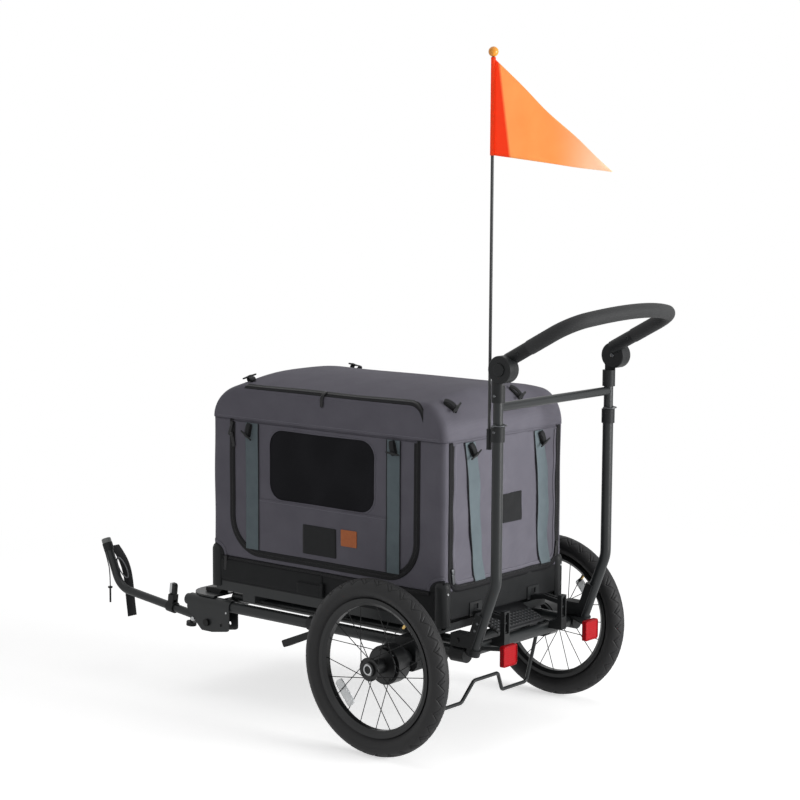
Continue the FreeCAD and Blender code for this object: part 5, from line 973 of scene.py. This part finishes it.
def toggleSet(name, place, spot, lean, twist, body, lift):
    # a loop of narrow webbing that hangs from its seam: down and off the cloth it is an ellipse
    (a, b), length = spot, toggle["length"]
    turn = np.linspace(0, 2 * math.pi, 36)[:, None]
    down = -length / 2 + length / 2 * np.cos(turn)
    across = np.linspace(-toggle["width"] / 2, toggle["width"] / 2, 4)[None, :]
    loop = place(a + across * math.cos(lean) - down * math.sin(lean),
                 b + across * math.sin(lean) + down * math.cos(lean),
                 lift + toggle["lift"] + toggle["bow"] * np.sin(turn))
    gridPiece(name + "Loop", loop, blackWebbing, body, "webbing", solid=toggle["web"])
    # toggle bar through the loop: thick in the middle with rounded ends
    along = np.linspace(-1, 1, 25)[:, None]
    radius = toggle["barRadius"] + toggle["barSwell"] * np.exp(-(along / toggle["barMiddle"]) ** 2)
    radius = radius * np.sqrt(np.clip(1 - along ** 10, 0, 1))
    wide, high = circle(1.0, 12).T[:, None]
    tilt, drop = lean + twist, length * toggle["barAt"]
    run, thick = along * toggle["barHalf"], radius * wide
    bar = place(a + drop * math.sin(lean) + run * math.cos(tilt) - thick * math.sin(tilt),
                b - drop * math.cos(lean) + run * math.sin(tilt) + thick * math.cos(tilt),
                lift + toggle["barLift"] + radius * high)
    gridPiece(name + "Bar", bar, mouldedNylon, body, "black_plastic", loopCols=True, closed=True)


for name, settings in toggles.items():
    toggleSet(name, *settings)
print("webbing made")


# Patches on the cloth: (panel, left, right, low, high, lift, finish, slot, body)
patches = {
    "sideLabel": (leftSide, 220.0, 325.0, 404.0, 474.0, 2.8, labelSatin, "cloth_black", "left_door"),
    "sideTag": (leftSide, 157.0, 205.0, 437.0, 476.0, 2.9, tanLeather, "cloth_grey", "left_door"),
    "rearLabel": (rearEnd, -44.0, 62.0, 496.0, 565.0, 1.5, labelSatin, "cloth_black", "rear_door"),
}
patch = {"corners": (2.0, 2.0), "thickness": 1.2}
for name, (place, left, right, low, high, lift, finish, slotName, body) in patches.items():
    grid = rowsPanel(place, low, high, left, right, patch["corners"], lift=lift, rows=16, cols=22)
    gridPiece(name, grid, finish, body, slotName, solid=patch["thickness"])
print("patches made")


# Wheels: tread places and widths are angles round the tyre's section, in radians
tyre = {"radius": 203.0, "section": 23.0, "centre": 350.0, "blocks": 34, "steps": 38, "depth": 2.0,
        "zigzag": (0.64, 0.4), "groove": 0.06, "sipe": 0.035, "sipeLean": 0.42, "sipeMiddle": 0.6,
        "sipeFrom": 0.3, "sipeTo": 0.95, "fineAt": 0.13, "fineHalf": 0.05, "fineDepth": 0.7,
        "ridgeAt": 1.62, "ridgeWidth": 0.045, "ridge": 0.6, "slimFrom": 1.9, "slim": 0.04,
        "beadHalf": 10.0, "beadSeat": 153.2, "beadTop": 160.5}


def tyreSurface(side, sign):
    # a ring of circular section: a wide zigzag groove and short sipes on each shoulder, two
    # fine grooves in the middle, and beads that reach down between the lips of the rim
    around = np.linspace(0, 2 * math.pi, tyre["blocks"] * tyre["steps"], endpoint=False)[:, None]
    section = np.radians(np.concatenate([np.linspace(-142, -76, 9), np.linspace(-72, 72, 49),
                                         np.linspace(76, 142, 9)]))[None, :]
    away = np.abs(section)
    phase = around * tyre["blocks"] / (2 * math.pi) + 0.5 * (section > 0)
    zigzag = tyre["zigzag"][0] + tyre["zigzag"][1] * (np.abs((phase % 1) * 2 - 1) * 2 - 1)
    groove = np.clip(1.5 - np.abs(away - zigzag) / tyre["groove"], 0, 1)
    line = np.abs((phase - tyre["sipeLean"] * (away - tyre["sipeMiddle"]) + 0.5) % 1 - 0.5)
    ends = (away > tyre["sipeFrom"]) * np.clip((tyre["sipeTo"] - away) / 0.1, 0, 1)
    sipe = np.clip(1.4 - line / tyre["sipe"], 0, 1) * ends
    fine = np.clip(1 - np.abs(away - tyre["fineAt"]) / tyre["fineHalf"], 0, 1) * tyre["fineDepth"]
    radius = tyre["section"] - tyre["depth"] * np.maximum(np.maximum(groove, sipe), fine)
    radius = radius + tyre["ridge"] * np.exp(-((away - tyre["ridgeAt"]) / tyre["ridgeWidth"]) ** 2)
    radius = radius * (1 - tyre["slim"] * np.clip((away - tyre["slimFrom"]) / 0.5, 0, 1))
    centre = sign * tyre["centre"] + 0 * around
    bead = np.full(2, tyre["beadHalf"])
    seat = np.array([tyre["beadSeat"], tyre["beadTop"]]) + 0 * around
    x = np.concatenate([centre - bead, centre + radius * np.sin(section), centre + bead], 1)
    out = tyre["radius"] - tyre["section"] + radius * np.cos(section)
    out = np.concatenate([seat, out, seat[:, ::-1]], 1)
    grid = np.stack([x, out * np.cos(around), axleZ + out * np.sin(around)], -1)
    gridPiece(side + "TyreTread", grid, tyreRubber, side + "_wheel", "tyre", loopRows=True, loopCols=True,
              closed=True, stands=(side + "_tyre",))


for side, sign in (("left", -1), ("right", 1)):
    tyreSurface(side, sign)
print("tyres made")


# Flag: slow and quick are the waves' (turns along, turns up) in radians, and the last two tables place its
# red and its painted sheen behind the axle
flag = {"x": -212.0, "y": -207.0, "top": 1549.0, "low": 1344.0, "reach": 297.0, "tip": 1311.0,
        "tipHeight": 3.0, "sleeve": 5.0, "overlap": 4.5, "seam": 6.0, "cloth": 0.5, "sleeveCloth": 0.6,
        "wave": 8.0, "slow": (7.2, 1.6), "quick": (15.0, -2.2),
        "wedge": {"slope": 0.151, "far": -458.0, "near": -451.0},
        "paintedSheen": {"start": -360.0, "end": -510.0, "share": 0.8}}
# Coated nylon in fluorescent orange that light comes through, red near the pole, with a faint painted glow
# and a painted sheen that pales the tip
pennantCloth = flagFinish("flagCloth", ("#ffca84", "#ffb970"), "#f8582c", "#fff1e2", flag["wedge"],
                          flag["paintedSheen"])


def pennant():
    # a triangle from the pole to its tip, with two sine waves that grow towards the tip, and a round
    # sleeve on the pole
    share = np.linspace(0, 1, 60)[:, None]
    up = np.linspace(0, 1, 26)[None, :]
    top = flag["top"] + (flag["tip"] + flag["tipHeight"] - flag["top"]) * share
    low = flag["low"] + (flag["tip"] - flag["low"]) * share
    slow, quick = (np.sin(share * along + up * rise) for along, rise in (flag["slow"], flag["quick"]))
    wave = slow * share ** 0.7 + 0.5 * quick * share
    x, y, z = spread(flag["x"] + flag["wave"] * wave, flag["y"] - flag["sleeve"] - flag["reach"] * share,
                     low + (top - low) * up)
    sheet = gridPiece("pennantSheet", np.stack([x, y, z], -1), pennantCloth, "chassis", "flag_orange",
                      solid=flag["cloth"], stands=("flag_pennant",))
    ring = circle(flag["sleeve"], 20)
    height = np.linspace(flag["low"], flag["top"] + flag["overlap"], 30)[:, None]
    sleeve = np.stack(spread(flag["x"] + ring[:, 0], flag["y"] + ring[:, 1], height), -1)
    sleevePiece = gridPiece("pennantSleeve", sleeve, pennantCloth, "chassis", "flag_orange", loopCols=True,
                            solid=flag["sleeveCloth"])


pennant()
print("flag made")


# Strap and lanyard at the hitch: the routes are (forward, height)
strap = {"route": ((1029.0, 326.0), (1004.0, 304.0), (985.0, 274.0), (976.0, 240.0), (971.0, 193.0),
                   (964.0, 148.0)),
         "x": -189.6, "width": 30.0, "thickness": 2.6}
lanyard = {"route": ((1018.0, 318.0), (1009.0, 296.0), (1000.0, 268.0), (1000.0, 228.0)), "x": -232.8,
           "radius": 1.4}


def routeLine(name, route, x, count):
    # the route as the control points of one smooth NURBS line, read back as points
    curve = bpy.data.curves.new(name, "CURVE")
    curve.dimensions = "3D"
    spline = curve.splines.new("NURBS")
    spline.points.add(len(route) - 1)
    for point, (y, z) in zip(spline.points, route):
        point.co = (x, y, z, 1.0)
    spline.order_u = 3
    spline.use_endpoint_u = True
    spline.resolution_u = count
    holder = bpy.data.objects.new(name, curve)
    line = bpy.data.meshes.new_from_object(holder)
    points = np.array([vertex.co for vertex in line.vertices])
    bpy.data.objects.remove(holder)
    return points


def safetyStrap():
    # a flat profile with eased edges carried along the route
    line = routeLine("strapLine", strap["route"], strap["x"], 16)
    half, thin = strap["width"] / 2, strap["thickness"] / 2
    quarter = np.array([(half, thin * 0.6), (half * 0.96, thin)])
    profile = np.concatenate([-quarter, quarter[::-1] * (1, -1), quarter, quarter[::-1] * (-1, 1)])
    rise = np.cross((1.0, 0.0, 0.0), unit(np.gradient(line, axis=0)))
    piece = gridPiece("safetyStrap", capped(carry(line, profile, rise)), blackWebbing, "tow_arm", "webbing",
                      loopCols=True, closed=True, stands=("safety_strap",))
    toRow(line[0]).tolist()
    toRow(line).tolist()


def pinLanyard():
    # a round cord along the route, with the hitch pin on its end
    line = routeLine("lanyardLine", lanyard["route"], lanyard["x"], 12)
    grid = capped(carry(line, circle(lanyard["radius"], 10), (1.0, 0.0, 0.0)))
    piece = gridPiece("pinLanyard", grid, blackWebbing, "tow_arm", "webbing", loopCols=True, closed=True,
                      stands=("pin_lanyard",))
    toRow(line[0]).tolist()
    toRow(line).tolist()


safetyStrap()
pinLanyard()
print("hitch cords made")


# Screws, valves and other small hardware

def screwProfile(radius):
    # a domed head with a socket, as (height, radius)
    return ((-1.0, 0.0), (-1.0, radius), (radius * 0.3, radius), (radius * 0.55, radius * 0.8),
            (radius * 0.6, radius * 0.5), (radius * 0.25, radius * 0.42), (radius * 0.25, 0.0))


# screws of both sides: (place on the right, direction, radius, look, body)
pairedScrews = {
    "RearHousing": ((222.5, -104.4, 363.0), (0, -1, 0), 3.0, zincLook, "chassis"),
    "FrontHousing": ((222.5, 631.4, 363.0), (0, 1, 0), 3.0, zincLook, "chassis"),
    "Sleeve": ((233.0, -235.0, 824.0), (1, 0, 0), 3.2, darkLook, "handle_frame"),
    "Collar": ((233.4, -235.0, 744.0), (1, 0, 0), 3.2, darkLook, "chassis"),
    "StubOuter": ((221.4, -285.2, 919.6), (1, 0, 0), 4.2, nylonLook, "handle_bar"),
    "StubInner": ((190.6, -301.0, 928.3), (-1, 0, 0), 4.2, nylonLook, "handle_bar"),
    "TiltPin": ((205.0, -251.0, 883.0), (-1, 0, 0), 5.0, darkLook, "handle_frame"),
    "Bracket0": ((234.4, -196.0, 312.0), (1, 0, 0), 3.2, darkLook, "chassis"),
    "Bracket1": ((234.4, -189.0, 295.0), (1, 0, 0), 3.2, darkLook, "chassis"),
}
leftScrews = {
    "towNose": ((-235.0, 695.0, 188.5), (-1, 0, 0), 5.6, zincLook, "chassis"),
    "towRivet": ((-235.0, 579.0, 220.0), (-1, 0, 0), 2.6, zincLook, "chassis"),
}
drumBolts = {"x": 321.2, "circle": 36.0, "count": 6, "first": 15.0, "radius": 3.0}


def screwHead(name, spot, way, radius, look, body):
    # one turned head that stands on spot
    turned(name + "Screw", screwProfile(radius), spot, way, 20, look, body)


def allScrews():
    # the pairs mirrored in X, each drum's bolts evenly round a circle, then those of the left side alone
    for side, sign in (("left", -1), ("right", 1)):
        mirror = np.array([sign, 1, 1])
        for name, (spot, way, *rest) in pairedScrews.items():
            screwHead(side + name, mirror * spot, mirror * way, *rest)
        for number in range(drumBolts["count"]):
            turn = math.radians(number * 360 / drumBolts["count"] + drumBolts["first"])
            spot = (sign * drumBolts["x"], drumBolts["circle"] * math.cos(turn),
                    axleZ + drumBolts["circle"] * math.sin(turn))
            screwHead(side + "Drum" + str(number), spot, (sign, 0, 0), drumBolts["radius"], darkLook,
                      side + "_wheel")
    for name, settings in leftScrews.items():
        screwHead(name, *settings)


# turned profiles are (height, radius)
valve = {"way": (0.0, -0.61, 0.792), "rim": 146.0, "stem": ((0, 0), (0, 3.4), (17, 3.4), (18, 3.0), (19, 0)),
         "cap": ((17.5, 0), (17.5, 4.0), (26, 4.0), (27.5, 3.0), (28, 0))}
hubCap = {"x": 377.4,
          "profile": ((-1.0, 0.0), (-1.0, 8.7), (0.6, 8.7), (1.1, 7.8), (1.1, 4.0), (0.5, 3.4), (0.5, 0.0))}
hubRing = {"x": 378.4,
           "profile": ((-0.6, 8.8), (0.7, 8.8), (1.1, 9.6), (1.1, 11.2), (0.7, 12.0), (-0.6, 12.0))}


def wheelBits():
    # valve, hub cap and the ring round the cap, all turned shapes that spin with the wheel
    way = unit(valve["way"])
    for side, sign in (("left", -1), ("right", 1)):
        body, out = side + "_wheel", (sign, 0, 0)
        foot = np.array([sign * tyre["centre"], 0.0, axleZ]) + way * valve["rim"]
        turned(side + "ValveStem", valve["stem"], foot, -way, 18, brassLook, body)
        turned(side + "ValveCap", valve["cap"], foot, -way, 18, nylonLook, body)
        turned(side + "HubCap", hubCap["profile"], (sign * hubCap["x"], 0.0, axleZ), out, 32, nylonLook, body)
        turned(side + "HubRing", hubRing["profile"], (sign * hubRing["x"], 0.0, axleZ), out, 40, zincLook,
               body, loopRows=True)


# strap hook as a bent wire beside the strap, and the edge of each reflector
hook = {"middle": (-206.5, 981.0, 276.0), "long": (0.0, 18.0, 24.0), "wide": 9.0, "wire": 1.8,
        "face": (-0.774, -0.633, 0.0)}
lens = {"x": 163.0, "y": -236.2, "z": 233.0, "half": (24.0, 22.0), "corner": 5.0, "edge": 1.6}


def wireBits():
    # an oval from its two half axes, and a rounded rectangle, each with a wire carried round it
    turn = np.linspace(0, 2 * math.pi, 48, endpoint=False)[:, None]
    across = unit(np.cross(hook["long"], hook["face"])) * hook["wide"]
    oval = np.array(hook["middle"]) + np.cos(turn) * np.array(hook["long"]) + np.sin(turn) * across
    gridPiece("strapHook", loopTube(oval, hook["wire"], hook["face"]), darkSteel, "tow_arm", "zinc_steel",
              loopRows=True, loopCols=True, closed=True)
    turn = np.linspace(-math.pi, math.pi, 96, endpoint=False)
    far = evenReach(turn, lens["half"], lens["corner"])
    for side, sign in (("left", -1), ("right", 1)):
        x, z = sign * lens["x"] + np.cos(turn) * far, lens["z"] + np.sin(turn) * far
        path = np.stack(spread(x, lens["y"], z), -1)
        gridPiece(side + "ReflectorEdge", loopTube(path, lens["edge"], (0.0, 1.0, 0.0)), redPrism, "chassis",
                  "red_lens", loopRows=True, loopCols=True, closed=True)


# low and high are the (forward, height) ends of the mat's slope, and rows are shares of it
studs = {"low": (-150.0, 262.4), "high": (-100.0, 282.4), "rows": (0.16, 0.33, 0.5, 0.67, 0.84),
         "reach": 84.0, "count": 15,
         "profile": ((-0.5, 0.0), (-0.5, 3.0), (0.8, 2.7), (1.7, 1.6), (2.0, 0.0))}


def matStuds():
    # small domes in rows, square to the mat's slope
    low, high = np.array(studs["low"]), np.array(studs["high"])
    up = (0.0, low[1] - high[1], high[0] - low[0])
    grids = []
    for share in studs["rows"]:
        y, z = low + (high - low) * share
        for x in np.linspace(-studs["reach"], studs["reach"], studs["count"]):
            grids.append(lathe(studs["profile"], (x, y, z), up, 10))
    points, faces = joinGrids(grids)
    # the studs' lighter grey is painted highlight on their tops
    makePiece("matStuds", points, faces, studRubberPaintedHighlight, "chassis", "mat_rubber", closed=True)


# bright spine through the lock lever, in the lever's own (along, up) plane
spine = {"x": -218.0, "foot": (785.0, 203.45), "slope": math.atan2(39.0, 332.0), "spot": (5.4, 48.5),
         "half": (3.9, 14.0), "corner": 3.4, "levels": ((1.0, -6.2), (0, -5.9), (0, 5.9), (1.0, 6.2))}


def leverSpine():
    # a rounded plate from one side of the lever to the other
    c, s = math.cos(spine["slope"]), math.sin(spine["slope"])

    def place(a, b, lift):
        a, b, lift = spread(a, b, lift)
        y, z = spine["foot"]
        return np.stack([lift + spine["x"], y + a * c - b * s, z + a * s + b * c], -1)

    pad("leverSpine", place, spine["spot"], spine["half"], spine["corner"], 0.0, spine["levels"], zincSteel,
        "lock_lever", "zinc_steel", sides=32)


allScrews()
wheelBits()
wireBits()
matStuds()
leverSpine()
print("hardware made")


# Stage: floor, light and camera. Fades are metres from the middle of the trailer
stage = {"floorHalf": 9.0, "floorDrop": 0.0005, "fadeNear": 1.3, "fadeFar": 2.6, "shadowLift": 0.56,
         "worldLight": 0.26}


def backgroundRays(tree):
    # 1 for the rays that see the background: straight from the camera, off gloss or through glass
    light = addNode(tree, "ShaderNodeLightPath")
    seen = light.outputs["Is Camera Ray"]
    for kind in ("Is Glossy Ray", "Is Transmission Ray"):
        larger = addNode(tree, "ShaderNodeMath", {"operation": "MAXIMUM"}, {0: seen, 1: light.outputs[kind]})
        seen = larger.outputs[0]
    return seen


def floorMaterial():
    # pale floor that keeps the shadow near the trailer and fades to plain white further out
    material, tree, shader, where = startMaterial("paleFloor", {"Base Color": linear("#f4f4f4"),
                                                                "Roughness": 0.9})
    away = addNode(tree, "ShaderNodeVectorMath", {"operation": "LENGTH"}, {0: where})
    fade = addNode(tree, "ShaderNodeMapRange", {"From Min": stage["fadeNear"], "From Max": stage["fadeFar"]},
                   {"Value": away.outputs["Value"]})
    white = addNode(tree, "ShaderNodeEmission", {"Strength": 1.0})
    lifted = addNode(tree, "ShaderNodeEmission", {"Strength": stage["shadowLift"]})
    near = addNode(tree, "ShaderNodeAddShader", links={0: shader.outputs[0], 1: lifted.outputs[0]})
    blended = addNode(tree, "ShaderNodeMixShader", links={0: fade.outputs["Result"], 1: near.outputs[0],
                                                          2: white.outputs[0]})
    chosen = addNode(tree, "ShaderNodeMixShader", links={0: backgroundRays(tree), 1: shader.outputs[0],
                                                         2: blended.outputs[0]})
    tree.links.new(chosen.outputs[0], tree.nodes["Material Output"].inputs["Surface"])
    return material


def makeFloor():
    # one wide square just under the wheels
    half = stage["floorHalf"]
    corners = [(-half, -half, 0), (half, -half, 0), (half, half, 0), (-half, half, 0)]
    mesh = bpy.data.meshes.new("floor")
    mesh.from_pydata(corners, [], [(0, 1, 2, 3)])
    mesh.materials.append(floorMaterial())
    floor = bpy.data.objects.new("floor", mesh)
    floor.location.z = -stage["floorDrop"]
    bpy.context.scene.collection.objects.link(floor)


def makeWorld():
    # white where it is seen, and a weaker white as light
    world = bpy.data.worlds.new("softWhite")
    bpy.context.scene.world = world
    world.use_nodes = True
    tree = world.node_tree
    shader = tree.nodes["Background"]
    strength = addNode(tree, "ShaderNodeMapRange", {"To Min": stage["worldLight"], "To Max": 1.0},
                       {"Value": backgroundRays(tree)})
    shader.inputs["Color"].default_value = (1.0, 1.0, 1.0, 1.0)
    tree.links.new(strength.outputs["Result"], shader.inputs["Strength"])


# name: (position, aimed at, size, power) in metres and watts
lamps = {
    "keyRear": ((1.2, -4.9, 1.1), (0.0, 0.0, 0.55), 2.6, 265.0),
    "skyPanel": ((0.3, -0.3, 4.6), (0.0, 0.0, 0.4), 3.4, 36.0),
    "leftFill": ((-4.8, -0.2, 2.0), (0.0, 0.0, 0.5), 2.6, 22.0),
}


def makeLamps():
    # square lamps, each turned to look at its aim
    for name, (spot, target, size, power) in lamps.items():
        lamp = bpy.data.lights.new(name, "AREA")
        lamp.size = size
        lamp.energy = power
        holder = bpy.data.objects.new(name, lamp)
        holder.location = spot
        holder.rotation_euler = (Vector(target) - Vector(spot)).to_track_quat("-Z", "Y").to_euler()
        bpy.context.scene.collection.objects.link(holder)


# angles in degrees, focal length in pixels of the frame
view = {"azimuth": -50.738, "elevation": 6.858, "roll": 0.336, "focal": 1986.07, "frame": 800.0,
        "sensor": 36.0, "far": 100.0, "spot": (-3685.5, -2792.3, 1330.7)}


def makeCamera():
    # the camera's axes from azimuth and elevation, then rolled about its view
    a, e, r = (math.radians(view[name]) for name in ("azimuth", "elevation", "roll"))
    back = Vector((math.sin(a) * math.cos(e), -math.cos(a) * math.cos(e), math.sin(e)))
    right = Vector((math.cos(a), math.sin(a), 0.0))
    up = back.cross(right)
    across = right * math.cos(r) + up * math.sin(r)
    rise = up * math.cos(r) - right * math.sin(r)
    camera = bpy.data.cameras.new("camera")
    camera.sensor_width = view["sensor"]
    camera.lens = view["focal"] / view["frame"] * view["sensor"]
    camera.clip_end = view["far"]
    holder = bpy.data.objects.new("camera", camera)
    turn = Matrix((across, rise, back)).transposed().to_4x4()
    holder.matrix_world = Matrix.Translation(Vector(toRow(view["spot"]).tolist())) @ turn
    bpy.context.scene.collection.objects.link(holder)
    bpy.context.scene.camera = holder


makeFloor()
makeWorld()
makeLamps()
makeCamera()
bpy.context.scene.view_settings.view_transform = "Standard"
print("stage set")
